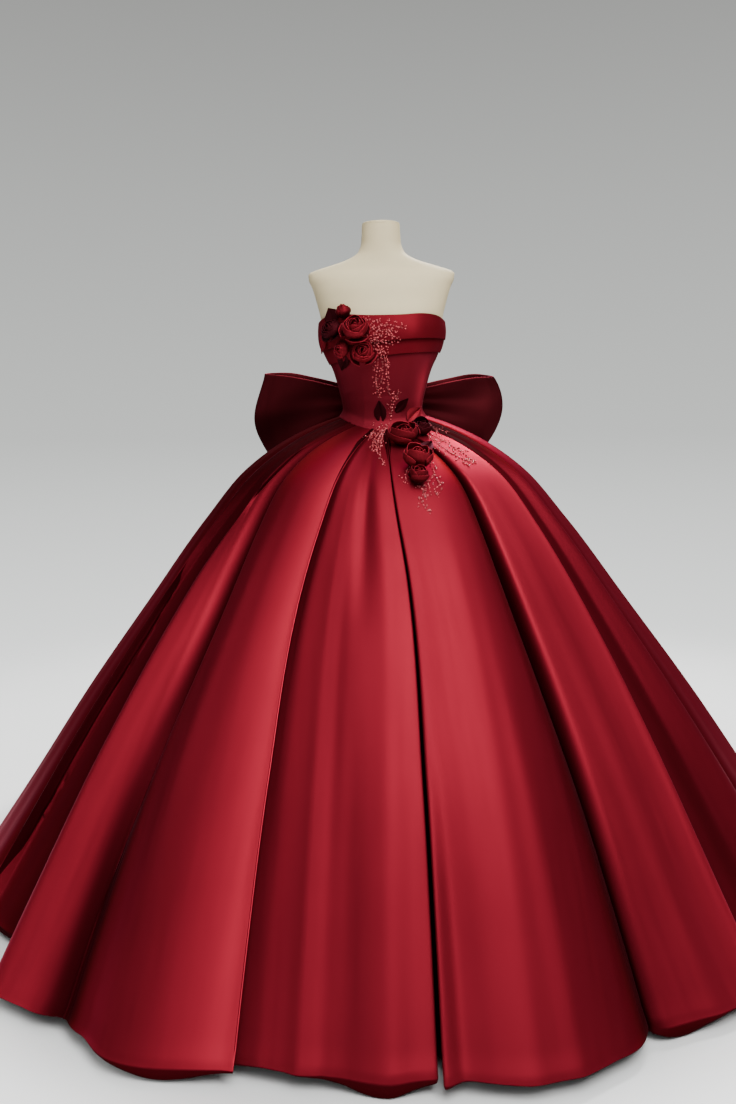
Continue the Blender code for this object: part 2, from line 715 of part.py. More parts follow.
def build():
    """Build the gown, its flowers and the dress form."""
    clear_scene()
    collection = make_collection(COLLECTION_NAME)
    linen = make_material("cream_linen", (0.72, 0.66, 0.54), 0.85)
    metal = make_material("dark_metal", (0.05, 0.05, 0.05), 0.45, 0.8)
    satin = make_material("red_satin", (0.42, 0.02, 0.04), 0.35)
    dark_satin = make_material("dark_red_satin", (0.16, 0.01, 0.02), 0.45)
    build_form(collection, linen, metal)
    build_bodice(collection, satin)
    build_skirt(collection, satin)
    build_bow(collection, dark_satin)
    build_flowers(collection, dark_satin)


build()
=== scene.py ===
"""Strapless satin ball gown with a pleated bell skirt, on a limbless dress form.

Metres, +Z up, the front of the gown faces -Y. An azimuth is in degrees from the front (-Y)
towards +X. The cloth is lofted from short tables of sections and pleats, the flowers and the
bow are folded from sheets of their own, and Geometry Nodes sew on the beads.
"""

import logging
import math
import random
from dataclasses import dataclass, field
from enum import Enum
from typing import Any, Optional, Sequence

import bpy
import numpy as np
from mathutils import Matrix, Vector
from mathutils.bvhtree import BVHTree


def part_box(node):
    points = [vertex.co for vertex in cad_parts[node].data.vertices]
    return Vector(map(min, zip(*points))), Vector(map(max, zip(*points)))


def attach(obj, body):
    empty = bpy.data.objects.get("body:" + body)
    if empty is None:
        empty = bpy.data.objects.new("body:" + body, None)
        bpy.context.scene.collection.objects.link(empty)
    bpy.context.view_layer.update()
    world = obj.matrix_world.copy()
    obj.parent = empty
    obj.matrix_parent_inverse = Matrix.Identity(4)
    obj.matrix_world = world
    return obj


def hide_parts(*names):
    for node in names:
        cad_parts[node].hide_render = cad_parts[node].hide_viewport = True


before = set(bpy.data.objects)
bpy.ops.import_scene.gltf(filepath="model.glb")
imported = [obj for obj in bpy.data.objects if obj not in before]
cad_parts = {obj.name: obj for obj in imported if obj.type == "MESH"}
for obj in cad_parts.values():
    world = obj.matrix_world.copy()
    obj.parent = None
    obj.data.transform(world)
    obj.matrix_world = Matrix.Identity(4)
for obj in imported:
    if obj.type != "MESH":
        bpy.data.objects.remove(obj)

Array = np.ndarray
Colour = tuple[float, float, float]
Piece = bpy.types.Object
Pair = tuple[float, float]
Table = tuple[tuple[float, ...], ...]
LOG = logging.getLogger("ball_gown")
BODY = "root"
MM_PER_M = 1000.0
SHARP_DEGREES = 55.0
WIDEST_RIM = 0.0022
QUARTERS = (0.0, 0.25, 0.5, 0.75, 1.0)


# ---- interpolation
def read_smooth(keys: Sequence[float], values: Any, at: Array) -> Array:
    """Read the columns of a table with smooth cubics.

    Args:
        keys: Rising keys, one for each row of the table.
        values: Table of rows, one for each key.
        at: Keys to read at, clamped to the table's range.

    Returns:
        One row of values for each key in `at`.
    """
    knots = np.asarray(keys, float)
    table = np.asarray(values, float).reshape(len(knots), -1)
    slopes = np.gradient(table, knots, axis=0)
    at = np.clip(np.asarray(at, float), knots[0], knots[-1])
    i = np.clip(np.searchsorted(knots, at, side="right") - 1, 0, len(knots) - 2)
    span = (knots[i + 1] - knots[i])[..., None]
    t = (at - knots[i])[..., None] / span
    ease = t * t * (3.0 - 2.0 * t)
    start_pull, end_pull = t * (1.0 - t) ** 2 * span, t * t * (t - 1.0) * span
    return (table[i] * (1.0 - ease) + table[i + 1] * ease
            + slopes[i] * start_pull + slopes[i + 1] * end_pull)


def ease_between(low: float, high: float, at: Array) -> Array:
    """Smooth step from 0 at `low` to 1 at `high`."""
    t = np.clip((np.asarray(at, float) - low) / (high - low), 0.0, 1.0)
    return t * t * (3.0 - 2.0 * t)


def spline_weights(controls: int, samples: int) -> Array:
    """Weights of a clamped cubic B-spline.

    Args:
        controls: Number of control points.
        samples: Number of evenly spaced points to read.

    Returns:
        Array of (samples, controls) weights.
    """
    degree = 3
    inner = np.linspace(0.0, 1.0, controls - degree + 1)
    knots = np.concatenate([np.zeros(degree), inner, np.ones(degree)])
    at = np.linspace(0.0, 1.0, samples)
    at[-1] = 1.0 - 1e-9
    weights = ((at[:, None] >= knots[None, :-1]) & (at[:, None] < knots[None, 1:])).astype(float)
    for d in range(1, degree + 1):
        count = len(knots) - 1 - d
        raised = np.zeros((samples, count))
        for k in range(count):
            left, right = knots[k + d] - knots[k], knots[k + d + 1] - knots[k + 1]
            if left > 0.0:
                raised[:, k] += (at - knots[k]) / left * weights[:, k]
            if right > 0.0:
                raised[:, k] += (knots[k + d + 1] - at) / right * weights[:, k + 1]
        weights = raised
    return weights


def eased(ends: Pair, low: float, high: float, at: Array) -> Array:
    """Value that runs smoothly from the first end at `low` to the second at `high`."""
    return ends[0] + (ends[1] - ends[0]) * ease_between(low, high, at)


def hump(at: Any, centre: Any, width: float) -> Any:
    """Smooth hump, 1 high at its centre and about a third of that one width away."""
    return np.exp(-((at - centre) / width) ** 2)


def squared_off(wave: Array, power: float) -> Array:
    """Sine or cosine raised to a power with its sign kept, which squares off a ring."""
    return np.sign(wave) * np.abs(wave) ** power


def wrapped(azimuth: Any) -> Array:
    """Azimuths brought between -180 and 180 degrees."""
    return (np.asarray(azimuth) + 180.0) % 360.0 - 180.0


def frontness(azimuth: Any) -> Array:
    """1 straight in front, falling to 0 at the sides and behind."""
    return np.maximum(0.0, np.cos(np.radians(azimuth)))


def unit(vectors: Array) -> Array:
    """Vectors brought to length 1."""
    return vectors / np.maximum(np.linalg.norm(vectors, axis=-1, keepdims=True), 1e-12)


def running_length(line: Array) -> Array:
    """Length along a line of points, from its first to each of them."""
    return np.concatenate([[0.0], np.cumsum(np.linalg.norm(np.diff(line, axis=0), axis=1))])


def grid_normals(grid: Array) -> Array:
    """Unit normals of a grid whose rows run down and whose columns run to the right."""
    return unit(np.cross(np.gradient(grid, axis=0), np.gradient(grid, axis=1)))


# ---- node graphs
class Graph:
    """Adds and links the nodes of one tree."""

    def __init__(self, tree: bpy.types.NodeTree) -> None:
        """Start with an empty tree.

        Args:
            tree: Shader or geometry tree that the nodes go in.
        """
        self.tree = tree
        tree.nodes.clear()

    def add(self, kind: str, inputs: Optional[dict[Any, Any]] = None, **settings: Any) -> Any:
        """Add a node, set its properties and fill its inputs.

        Args:
            kind: Blender's identifier of the node's type.
            inputs: What goes in its inputs, as in `fill`.
            settings: Properties of the node.

        Returns:
            The new node.
        """
        node = self.tree.nodes.new(kind)
        for name, value in settings.items():
            setattr(node, name, value)
        self.fill(node, inputs or {})
        return node

    def fill(self, node: Any, inputs: dict[Any, Any]) -> None:
        """Set or link the inputs of a node.

        Args:
            node: The node.
            inputs: Values, output sockets or nodes, by the input's name or number. A node
                stands for its first output.
        """
        for name, value in inputs.items():
            if isinstance(value, bpy.types.Node):
                value = value.outputs[0]
            if isinstance(value, bpy.types.NodeSocket):
                self.tree.links.new(value, node.inputs[name])
            else:
                node.inputs[name].default_value = value

    def ramp(self, factor: Any, stops: Sequence[tuple[float, Colour]]) -> Any:
        """Colour ramp over a factor.

        Args:
            factor: Output socket that drives the ramp.
            stops: Position and colour of each stop.

        Returns:
            The ramp's colour output.
        """
        node = self.add("ShaderNodeValToRGB", {"Fac": factor})
        elements = node.color_ramp.elements
        while len(elements) < len(stops):
            elements.new(0.5)
        for element, (place, colour) in zip(elements, stops):
            element.position = place
            element.color = (*colour, 1.0)
        return node.outputs["Color"]

    def coordinates(self, kind: str = "Object") -> Any:
        """Coordinates to lay a pattern out on, by default the piece's own."""
        return self.add("ShaderNodeTexCoord").outputs[kind]

    def noise(self, vector: Any, scale: float, detail: float, roughness: float = 0.5) -> Any:
        """Factor of a noise texture read at a vector."""
        return self.add("ShaderNodeTexNoise", {"Vector": vector, "Scale": scale, "Detail": detail,
                                               "Roughness": roughness}).outputs["Fac"]

    def combine(self, operation: str, first: Any, second: Any) -> Any:
        """Sum, product or the like of two values."""
        return self.add("ShaderNodeMath", {0: first, 1: second}, operation=operation)

    def scale(self, colour: Any, share: Any) -> Any:
        """Colour times a share."""
        return self.add("ShaderNodeVectorMath", {0: colour, "Scale": share}, operation="SCALE")

    def spread(self, value: Any, low: float, high: float, start: float = 0.0, end: float = 1.0,
               **settings: Any) -> Any:
        """Value that runs from low to high as the given one runs from start to end."""
        return self.add("ShaderNodeMapRange", {"Value": value, "From Min": start, "From Max": end,
                                               "To Min": low, "To Max": high}, **settings)

    def join(self, *parts: Any) -> Any:
        """Join geometry.

        Args:
            parts: Nodes that make its parts.

        Returns:
            The joining node.
        """
        node = self.add("GeometryNodeJoinGeometry")
        for part in parts:
            self.fill(node, {0: part})
        return node

    def relief(self, height: Any, strength: float, distance: float, **over: Any) -> Any:
        """Bump of a height, laid over the given Normal if there is one."""
        return self.add("ShaderNodeBump", {"Height": height, "Strength": strength,
                                           "Distance": distance, **over})


def scaled(colour: Colour, share: float) -> Colour:
    """Colour made darker or lighter by a share."""
    return tuple(min(1.0, channel * share) for channel in colour)


# ---- finishes
@dataclass(frozen=True)
class Finish:
    """A surface finish, made into one material that its pieces share."""

    name: str  # Name of the material
    slot: str  # The record's material slot
    colour: Colour  # Base colour, linear
    roughness: float  # Mean roughness

    def material(self) -> bpy.types.Material:
        """Build the material on its first use.

        Returns:
            The material of this finish.
        """
        made = bpy.data.materials.get(self.name)
        if made is None:
            made = bpy.data.materials.new(self.name)
            made.use_nodes = True
            made.diffuse_color = (*self.colour, 1.0)
            graph = Graph(made.node_tree)
            output = graph.add("ShaderNodeOutputMaterial")
            shader = graph.add("ShaderNodeBsdfPrincipled", {"Roughness": self.roughness})
            graph.fill(output, {"Surface": shader})
            graph.fill(shader, self.inputs(graph))
        return made

    def inputs(self, graph: Graph) -> dict[str, Any]:
        """Inputs of the Principled shader, made in the material's graph."""
        return {"Base Color": (*self.colour, 1.0)}

    def shades(self, graph: Graph, factor: Any, *stops: Pair) -> Any:
        """Ramp of the colour; each stop is a place and the share of the colour there."""
        return graph.ramp(factor, [(place, scaled(self.colour, share)) for place, share in stops])

    def worn(self, graph: Graph, factor: Any, less: float, more: float, start: float = 0.0,
             end: float = 1.0) -> Any:
        """Roughness from so much less to so much more than the mean, over a factor."""
        return graph.spread(factor, self.roughness - less, self.roughness + more, start, end)


@dataclass(frozen=True)
class SatinFinish(Finish):
    """Duchess satin: long floats along the cloth, a soft sheen and a fine weave."""

    gleam: float = 0.85  # Share of the light that the floats mirror in their own colour
    sheen: float = 0.04  # Weight of the sheen at grazing angles
    sheen_tint: Colour = (1.0, 0.22, 0.3)  # Its colour
    specular: float = 0.04  # Strength of the reflection
    rim_tint: Colour = (0.9, 0.49, 0.59)  # Colour of the reflection at grazing angles
    float_depth: float = 0.00012  # Height of the weave's relief
    slub_depth: float = 0.0006  # Height of the slubs' relief
    fold_shade: float = 0.22  # Share of the colour that the painted shade leaves deep in the folds
    fold_power: float = 1.6  # How fast the painted shade darkens the colour towards that share

    def inputs(self, graph: Graph) -> dict[str, Any]:
        """Weave, slubs and slow colour drift, all laid out on the cloth's own map, and the painted
        shade and painted highlights that the cloth's points carry.

        Args:
            graph: The material's graph.

        Returns:
            Inputs of the Principled shader.
        """
        cloth = graph.coordinates("UV")
        drawn = graph.add("ShaderNodeMapping", {"Vector": cloth, "Scale": (1.0, 0.06, 1.0)})
        slubs = graph.noise(drawn, 55.0, 4.0, 0.6)
        drift = graph.noise(cloth, 6.0, 2.0)
        threads = graph.add("ShaderNodeMapping", {"Vector": cloth, "Scale": (1.0, 0.22, 1.0)})
        floats = graph.noise(threads, 1500.0, 2.0, 0.7)
        tone = graph.combine("MULTIPLY", graph.combine("ADD", slubs, drift), 0.5)
        colour = self.shades(graph, tone, (0.3, 0.93), (0.7, 1.06))
        # Painted shade: this attribute darkens the colour in folds and shaded places, and paints a
        # highlight where it is below 0
        depth = graph.add("ShaderNodeAttribute", attribute_name="painted_shade").outputs["Fac"]
        rise = graph.combine("POWER", graph.combine("SUBTRACT", 1.0, depth), self.fold_power)
        shade = graph.spread(rise, self.fold_shade, 1.0, clamp=False)
        # The same painted shade dims the grazing reflection
        rim_shade = graph.spread(rise, self.fold_shade, 1.0)
        weave = graph.relief(floats, 0.35, self.float_depth)
        return {"Base Color": graph.scale(colour, shade),
                "Roughness": self.worn(graph, slubs, 0.03, 0.03, 0.3, 0.7),
                "Normal": graph.relief(slubs, 0.12, self.slub_depth, Normal=weave),
                "Metallic": self.gleam,
                "Sheen Weight": self.sheen,
                "Sheen Tint": (*self.sheen_tint, 1.0),
                "Sheen Roughness": 0.35,
                "Specular IOR Level": self.specular,
                "Specular Tint": graph.scale(self.rim_tint, rim_shade)}


@dataclass(frozen=True)
class FormFinish(Finish):
    """Plain matt cover of the dress form, slightly mottled by handling."""

    def inputs(self, graph: Graph) -> dict[str, Any]:
        """Faint blotches and a fine tooth, on the piece's own coordinates.

        Args:
            graph: The material's graph.

        Returns:
            Inputs of the Principled shader.
        """
        place = graph.coordinates()
        blotches = graph.noise(place, 9.0, 4.0, 0.55)
        tooth = graph.noise(place, 700.0, 3.0)
        return {"Base Color": self.shades(graph, blotches, (0.32, 0.93), (0.62, 1.0),
                                          (0.8, 1.04)),
                "Normal": graph.relief(tooth, 0.25, 0.0003),
                "Specular IOR Level": 0.35}


@dataclass(frozen=True)
class MetalFinish(Finish):
    """Dark powder-coated steel of the stand."""

    def inputs(self, graph: Graph) -> dict[str, Any]:
        """Fine orange peel and slight wear in the gloss.

        Args:
            graph: The material's graph.

        Returns:
            Inputs of the Principled shader.
        """
        place = graph.coordinates()
        wear = graph.noise(place, 25.0, 5.0, 0.6)
        peel = graph.noise(place, 450.0, 2.0)
        return {"Base Color": self.shades(graph, wear, (0.35, 1.0), (0.75, 1.5)),
                "Roughness": self.worn(graph, wear, 0.1, 0.12),
                "Normal": graph.relief(peel, 0.3, 0.0002),
                "Metallic": 0.6}


@dataclass(frozen=True)
class BeadFinish(Finish):
    """Glossy dyed glass beads and pearly sequins."""

    def inputs(self, graph: Graph) -> dict[str, Any]:
        """Give each bead a tone of its own, from where it lies.

        Args:
            graph: The material's graph.

        Returns:
            Inputs of the Principled shader.
        """
        cells = graph.add("ShaderNodeTexVoronoi", {"Vector": graph.coordinates(), "Scale": 260.0})
        tone = graph.add("ShaderNodeSeparateColor", {"Color": cells.outputs["Color"]})
        # Random tone for each bead; the brightest, above the base colour, partly stand in for
        # glints as painted highlights
        return {"Base Color": self.shades(graph, tone, (0.0, 0.3), (0.55, 0.75), (1.0, 1.6)),
                "Coat Weight": 0.5,
                "Coat Roughness": 0.12}


@dataclass(frozen=True)
class FloorFinish(Finish):
    """Pale studio floor, worn to a faint gloss, that runs out into its surroundings and glows with
    painted light away from the gown.
    """

    # Distances from the gown where the floor starts to run out and has gone
    clear: Pair = (1.7, 3.8)
    glow: float = 0.95  # Painted light: emission that the floor adds of its own
    glow_rise: Pair = (1.04, 1.26)  # Distances between which that painted glow sets in

    def inputs(self, graph: Graph) -> dict[str, Any]:
        """Cloudy tone and roughness, the soft outer edge, and the painted glow.

        Args:
            graph: The material's graph.

        Returns:
            Inputs of the Principled shader.
        """
        place = graph.coordinates()
        clouds = graph.noise(place, 1.3, 5.0, 0.6)
        away = graph.add("ShaderNodeVectorMath", {0: place}, operation="LENGTH").outputs["Value"]
        return {"Base Color": self.shades(graph, clouds, (0.3, 0.96), (0.7, 1.0)),
                "Roughness": self.worn(graph, clouds, 0.08, 0.08),
                "Alpha": graph.spread(away, 1.0, 0.0, *self.clear,
                                      interpolation_type="SMOOTHERSTEP"),
                # Painted light: the floor glows, from nothing next to the gown to full further out
                "Emission Color": (*self.colour, 1.0),
                "Emission Strength": graph.spread(away, 0.0, self.glow, *self.glow_rise,
                                                  interpolation_type="SMOOTHSTEP")}


SKIRT_SATIN = SatinFinish("skirt_satin", "red_satin", (0.212, 0.01, 0.0212), 0.52)
BODICE_SATIN = SatinFinish("bodice_satin", "red_satin", (0.158, 0.01, 0.0185), 0.54, 0.62)
BAND_SATIN = SatinFinish("band_satin", "red_satin", (0.14, 0.006, 0.012), 0.54, 0.55)
BOW_SATIN = SatinFinish("bow_satin", "dark_red_satin", (0.066, 0.006, 0.009), 0.5, 0.65)
PETAL_SATIN = SatinFinish("petal_satin", "dark_red_satin", (0.215, 0.012, 0.021), 0.5, 0.55)
LEAF_SATIN = SatinFinish("leaf_satin", "dark_red_satin", (0.032, 0.003, 0.005), 0.5, 0.5)
CREAM_COVER = FormFinish("cream_cover", "cream_linen", (0.75, 0.63, 0.385), 0.62)
DARK_STEEL = MetalFinish("dark_steel", "dark_metal", (0.03, 0.03, 0.032), 0.42)
CORAL_BEADS = BeadFinish("coral_beads", "red_satin", (0.78, 0.1, 0.115), 0.42)
CORAL_THREAD = Finish("coral_thread", "red_satin", (0.2, 0.008, 0.016), 0.6)
PALE_FLOOR = FloorFinish("pale_floor", "", (0.9, 0.91, 0.9), 0.55)


# ---- meshes of cloth
def placed(name: str, data: Any) -> Piece:
    """New object in the scene.

    Args:
        name: Its name.
        data: Its mesh, light or camera.

    Returns:
        The object.
    """
    made = bpy.data.objects.new(name, data)
    bpy.context.scene.collection.objects.link(made)
    return made


def finish_piece(piece: Piece, finish: Finish, *nodes: str) -> Piece:
    """Dress a piece, hang it on the body and let it stand for its CAD nodes.

    Args:
        piece: Finished mesh object at the origin.
        finish: Its finish.
        nodes: CAD nodes that it replaces.

    Returns:
        The same piece.
    """
    if not piece.data.materials:
        piece.data.materials.append(finish.material())
    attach(piece, BODY)
    if nodes:
        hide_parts(*nodes)
    triangles = sum(len(face.vertices) - 2 for face in piece.data.polygons)
    LOG.info("%-24s %7d triangles", piece.name, triangles)
    return piece


def mesh_object(name: str, points: Array, faces: list,
                layout: Optional[Array] = None) -> Piece:
    """Smooth mesh object from points and faces.

    Args:
        name: Name of the object.
        points: Vertices, one row each.
        faces: Vertex numbers of each face.
        layout: Place of each vertex on the cloth's flat map, in metres, and its painted shade:
        1 full painted shade, 0 none, below 0 a painted highlight.

    Returns:
        The new object, in the scene.
    """
    mesh = bpy.data.meshes.new(name)
    mesh.from_pydata(points.tolist(), [], faces)
    if layout is not None:
        corners = np.empty(len(mesh.loops), np.int32)
        mesh.loops.foreach_get("vertex_index", corners)
        flat = mesh.uv_layers.new(name="cloth")
        flat.data.foreach_set("uv", layout[corners, :2].astype(np.float32).ravel())
        # Painted shade and painted highlights, which the material darkens or lightens the colour
        # with
        depth = mesh.attributes.new("painted_shade", "FLOAT", "POINT")
        depth.data.foreach_set("value", layout[:, 2].astype(np.float32))
    mesh.shade_smooth()
    mesh.set_sharp_from_angle(angle=math.radians(SHARP_DEGREES))
    return placed(name, mesh)


def tube_faces(rings: int, columns: int, flipped: bool = False) -> list[tuple[int, ...]]:
    """Faces of a tube with a flat lid at each end.

    Args:
        rings: Number of its rings of points.
        columns: Points round each ring.
        flipped: Whether the faces turn the other way round.

    Returns:
        Vertex numbers of each face.
    """
    quads = []
    for r in range(rings - 1):
        for c in range(columns):
            a, b = r * columns + c, r * columns + (c + 1) % columns
            quads.append((a, b, b + columns, a + columns))
    lids = [tuple(range(columns))[::-1], tuple(range((rings - 1) * columns, rings * columns))]
    if flipped:
        return [(face[0], *face[:0:-1]) for face in quads] + [lid[::-1] for lid in lids]
    return quads + lids


@dataclass
class ClothSheet:
    """A closed wall of cloth with rounded rims, over a grid of points of its outer face."""

    grid: Array  # Points in rows from top to bottom and columns from left to right, seen outside
    thickness: float = 0.0016  # Distance from the outer face to the inner one
    rim_steps: int = 3  # Points round the rims of the top and bottom edge
    # Painted shade of each point of the grid, as in `mesh_object`
    depths: Optional[Array] = None
    lining: float = 0.0  # Painted shade laid over the whole inner face
    lining_drop: Optional[Array] = None  # How far the lining hangs below the hem, for each column
    rim_light: float = 0.0  # Painted highlight: how much lighter the rims are than the faces

    def rim(self, outer: Array, inner: Array, outward: Array) -> Array:
        """Points of a rounded rim between the two faces.

        Args:
            outer: Edge points of the face that the rim starts from.
            inner: Edge points of the face where it ends.
            outward: Unit vectors that point off the cloth's edge.

        Returns:
            Array of (steps, columns, 3) points.
        """
        middle, reach = (outer + inner) / 2.0, (outer - inner) / 2.0
        half = np.minimum(np.linalg.norm(reach, axis=1, keepdims=True), WIDEST_RIM)
        angles = np.linspace(0.0, math.pi, self.rim_steps + 2)[1:-1]
        return np.array([middle + reach * math.cos(a) + outward * half * math.sin(a)
                         for a in angles])

    def layout(self) -> Array:
        """Lay the outer face out flat.

        Returns:
            Width along the row, length down and painted shade of each grid point.
        """
        widths = np.linalg.norm(np.diff(self.grid, axis=1), axis=2)
        across = np.concatenate([np.zeros((len(self.grid), 1)), np.cumsum(widths, axis=1)], axis=1)
        across -= across[:, across.shape[1] // 2][:, None]
        lengths = np.linalg.norm(np.diff(self.grid, axis=0), axis=2).mean(axis=1)
        down = np.concatenate([[0.0], np.cumsum(lengths)])
        depths = np.zeros_like(across) if self.depths is None else self.depths
        return np.stack([across, np.broadcast_to(-down[:, None], across.shape), depths], axis=2)

    def parts(self) -> tuple[Array, list, Array]:
        """Close the wall.

        Returns:
            Its vertices, its faces and its layout, as `mesh_object` takes them.
        """
        rows, columns = self.grid.shape[:2]
        inner = self.grid - grid_normals(self.grid) * self.thickness
        if self.lining_drop is not None:
            inner[-1, :, 2] -= self.lining_drop
            inner[-2, :, 2] -= self.lining_drop * 0.5
        bottom_rim = self.rim(self.grid[-1], inner[-1], unit(self.grid[-1] - self.grid[-2]))
        top_rim = self.rim(inner[0], self.grid[0], unit(self.grid[0] - self.grid[1]))
        section = np.concatenate([self.grid, bottom_rim, inner[::-1], top_rim])
        flat, k = self.layout(), self.rim_steps
        back = flat[::-1].copy()
        # Painted shade: the inner face is at least as dark as the lining's shade
        back[:, :, 2] = np.maximum(back[:, :, 2], self.lining)
        low, top = np.repeat(back[:1], k, 0), np.repeat(flat[:1], k, 0)
        # Painted highlight on the bottom and top rims
        low[:, :, 2] -= self.rim_light
        top[:, :, 2] -= self.rim_light
        flat = np.concatenate([flat, low, back, top])
        total = 2 * rows + 2 * k
        s, c = np.meshgrid(np.arange(total), np.arange(columns - 1), indexing="ij")
        after = (s + 1) % total
        quads = np.stack([s * columns + c, after * columns + c, after * columns + c + 1,
                          s * columns + c + 1], axis=2).reshape(-1, 4).tolist()
        return section.reshape(-1, 3), quads + self.end_caps(rows, columns), flat.reshape(-1, 3)

    def end_caps(self, rows: int, columns: int) -> list[list[int]]:
        """Close the left and right edges.

        Args:
            rows: Rows of the grid.
            columns: Its columns.

        Returns:
            Vertex numbers of each face.
        """
        k, faces = self.rim_steps, []
        rims = [list(range(rows - 1, rows + k + 1)),
                list(range(2 * rows + k - 1, 2 * rows + 2 * k)) + [0]]
        strips = [[i, i + 1, 2 * rows + k - 2 - i, 2 * rows + k - 1 - i] for i in range(rows - 1)]
        for column, flip in ((0, True), (columns - 1, False)):
            for face in strips + rims:
                corners = [i * columns + column for i in face]
                faces.append(corners[::-1] if flip else corners)
        return faces


def joined_sheets(name: str, sheets: Sequence[ClothSheet]) -> Piece:
    """One object of several cloth sheets that are sewn together.

    Args:
        name: Name of the object.
        sheets: The sheets, each closed in itself.

    Returns:
        The new object.
    """
    points, faces, flats, start = [], [], [], 0
    for sheet in sheets:
        sheet_points, sheet_faces, flat = sheet.parts()
        points.append(sheet_points)
        flats.append(flat)
        faces += [[corner + start for corner in face] for face in sheet_faces]
        start += len(sheet_points)
    return mesh_object(name, np.concatenate(points), faces, np.concatenate(flats))


def sewn_sheet(name: str, sheet: ClothSheet, finish: Finish, node: str) -> Piece:
    """Build and finish a piece of one sheet.

    Args:
        name: Name of the piece.
        sheet: Its sheet.
        finish: Its finish.
        node: CAD node that it replaces.

    Returns:
        The finished piece.
    """
    piece = finish_piece(mesh_object(name, *sheet.parts()), finish, node)
    return piece


# ---- the dress form
@dataclass(frozen=True)
class BodyShape:
    """Sections of the form in millimetres.

    Each is its height, half width, depth to the front and back, and fullness of the bust.
    """

    sections: Table = (
        (930, 150, 105, 120, 0),
        (970, 163, 112, 130, 0),
        (1020, 158, 110, 124, 0),
        (1080, 130, 98, 106, 0),
        (1130, 104, 89, 90, 0),
        (1165, 98.5, 85, 86, 0),
        (1200, 102.5, 88, 88, 0),
        (1240, 112.5, 95, 93, 0),
        (1280, 125, 105, 99, 3),
        (1310, 139, 115, 104, 8),
        (1340, 150, 122, 108, 11),
        (1370, 154, 121, 110, 10),
        (1400, 155, 115, 111, 6),
        (1440, 164, 103, 112, 0),
        (1480, 175.5, 88, 108, 0),
        (1506, 185, 72, 94, 0),
        (1520, 181, 58, 76, 0),
        (1532, 145, 53, 64, 0),
        (1545, 102, 50, 56, 0),
        (1560, 69, 48, 50, 0),
        (1580, 53.5, 47, 48, 0),
        (1605, 49.5, 47, 47, 0),
        (1634, 48, 47, 47, 0),
    )
    squareness: float = 2.2
    bust_azimuth: float = 34.0
    bust_spread: float = 20.0

    def at(self, azimuth: Array, height: Array) -> Array:
        """Points of the form's surface.

        Args:
            azimuth: Degrees from the front.
            height: Heights, of the same shape.

        Returns:
            Points, with a last axis of x, y and z.
        """
        table = np.array(self.sections) / MM_PER_M
        values = read_smooth(table[:, 0], table[:, 1:], height)
        half_width, front, back, bust = np.moveaxis(values, -1, 0)
        angle, power = np.radians(azimuth), 2.0 / self.squareness
        forward = squared_off(np.cos(angle), power)
        cup = hump(np.abs(wrapped(azimuth)), self.bust_azimuth, self.bust_spread)
        depth = np.where(forward > 0.0, front, back)
        return np.stack([half_width * squared_off(np.sin(angle), power),
                         -depth * forward - bust * cup,
                         np.broadcast_to(height, half_width.shape)], axis=-1)

    def outside(self, azimuth: Array, height: Array, distance: Any) -> Array:
        """Points outside the form's surface.

        Args:
            azimuth: Degrees from the front.
            height: Heights, of the same shape.
            distance: Distance of each point from the surface.

        Returns:
            Points, as `at` gives them.
        """
        step_angle, step_height = 0.5, 0.002
        along = self.at(azimuth + step_angle, height) - self.at(azimuth - step_angle, height)
        down = self.at(azimuth, height - step_height) - self.at(azimuth, height + step_height)
        normal = unit(np.cross(down, along))
        return self.at(azimuth, height) + normal * np.asarray(distance)[..., None]


@dataclass
class DressForm:
    """The padded form that fills the gown, with its neck cap, pole and base."""

    shape: BodyShape
    columns: int = 120  # Points round each ring
    rings: int = 150

    def build(self) -> Piece:
        """Loft the torso and neck, and dress the stand's CAD pieces.

        Returns:
            The torso.
        """
        for node, finish in (("form_neck_cap", CREAM_COVER), ("stand_pole", DARK_STEEL),
                             ("stand_base", DARK_STEEL)):
            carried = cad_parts[node]
            carried.data.materials.clear()
            carried.data.materials.append(finish.material())
            LOG.info("%-24s dressed", node)
        low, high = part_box("form_torso")
        heights = low.z + (high.z - low.z) * np.linspace(0.0, 1.0, self.rings)
        azimuth, height = np.meshgrid(np.arange(self.columns) * 360.0 / self.columns, heights)
        points = self.shape.at(azimuth, height).reshape(-1, 3)
        torso = mesh_object("dress_form", points, tube_faces(self.rings, self.columns))
        return finish_piece(torso, CREAM_COVER, "form_torso")


# ---- the skirt
FoldSide = tuple[Pair, ...]

BOX_SIDE: FoldSide = ((0.0, 1.5), (0.01, 1.1), (0.34, 0.82), (0.58, 0.52), (0.48, 0.27),
                      (0.14, 0.17), (0.035, 0.12), (0.03, 0.05), (0.09, -0.01), (0.42, 0.0))
OVER_SIDE: FoldSide = ((1.0, 0.948), (0.74, 0.82), (0.4, 0.56), (0.12, 0.24), (0.0, 0.1),
                       (-0.02, 0.03), (0.04, -0.01), (0.22, -0.015))
UNDER_SIDE: FoldSide = ((-1.0, 0.95), (-0.5, 0.94), (-0.05, 0.88), (0.25, 0.74), (0.55, 0.48),
                        (0.85, 0.22), (1.2, 0.05))
VALLEY_SIDE: FoldSide = ((0.0, 1.5), (0.0, 1.15), (0.1, 0.95), (0.32, 0.62), (0.62, 0.3),
                         (0.95, 0.09), (1.35, 0.01))


class FoldKind(Enum):
    """How two neighbouring panels meet: the left panel's side of the fold and the right one's."""

    BOX = (BOX_SIDE, BOX_SIDE)  # Both turn under and meet in the middle
    LEFT_OVER = (OVER_SIDE, UNDER_SIDE)  # The left panel laps over the right one
    RIGHT_OVER = (UNDER_SIDE, OVER_SIDE)  # The right panel laps over the left one
    VALLEY = (VALLEY_SIDE, VALLEY_SIDE)  # Both round down into an open valley


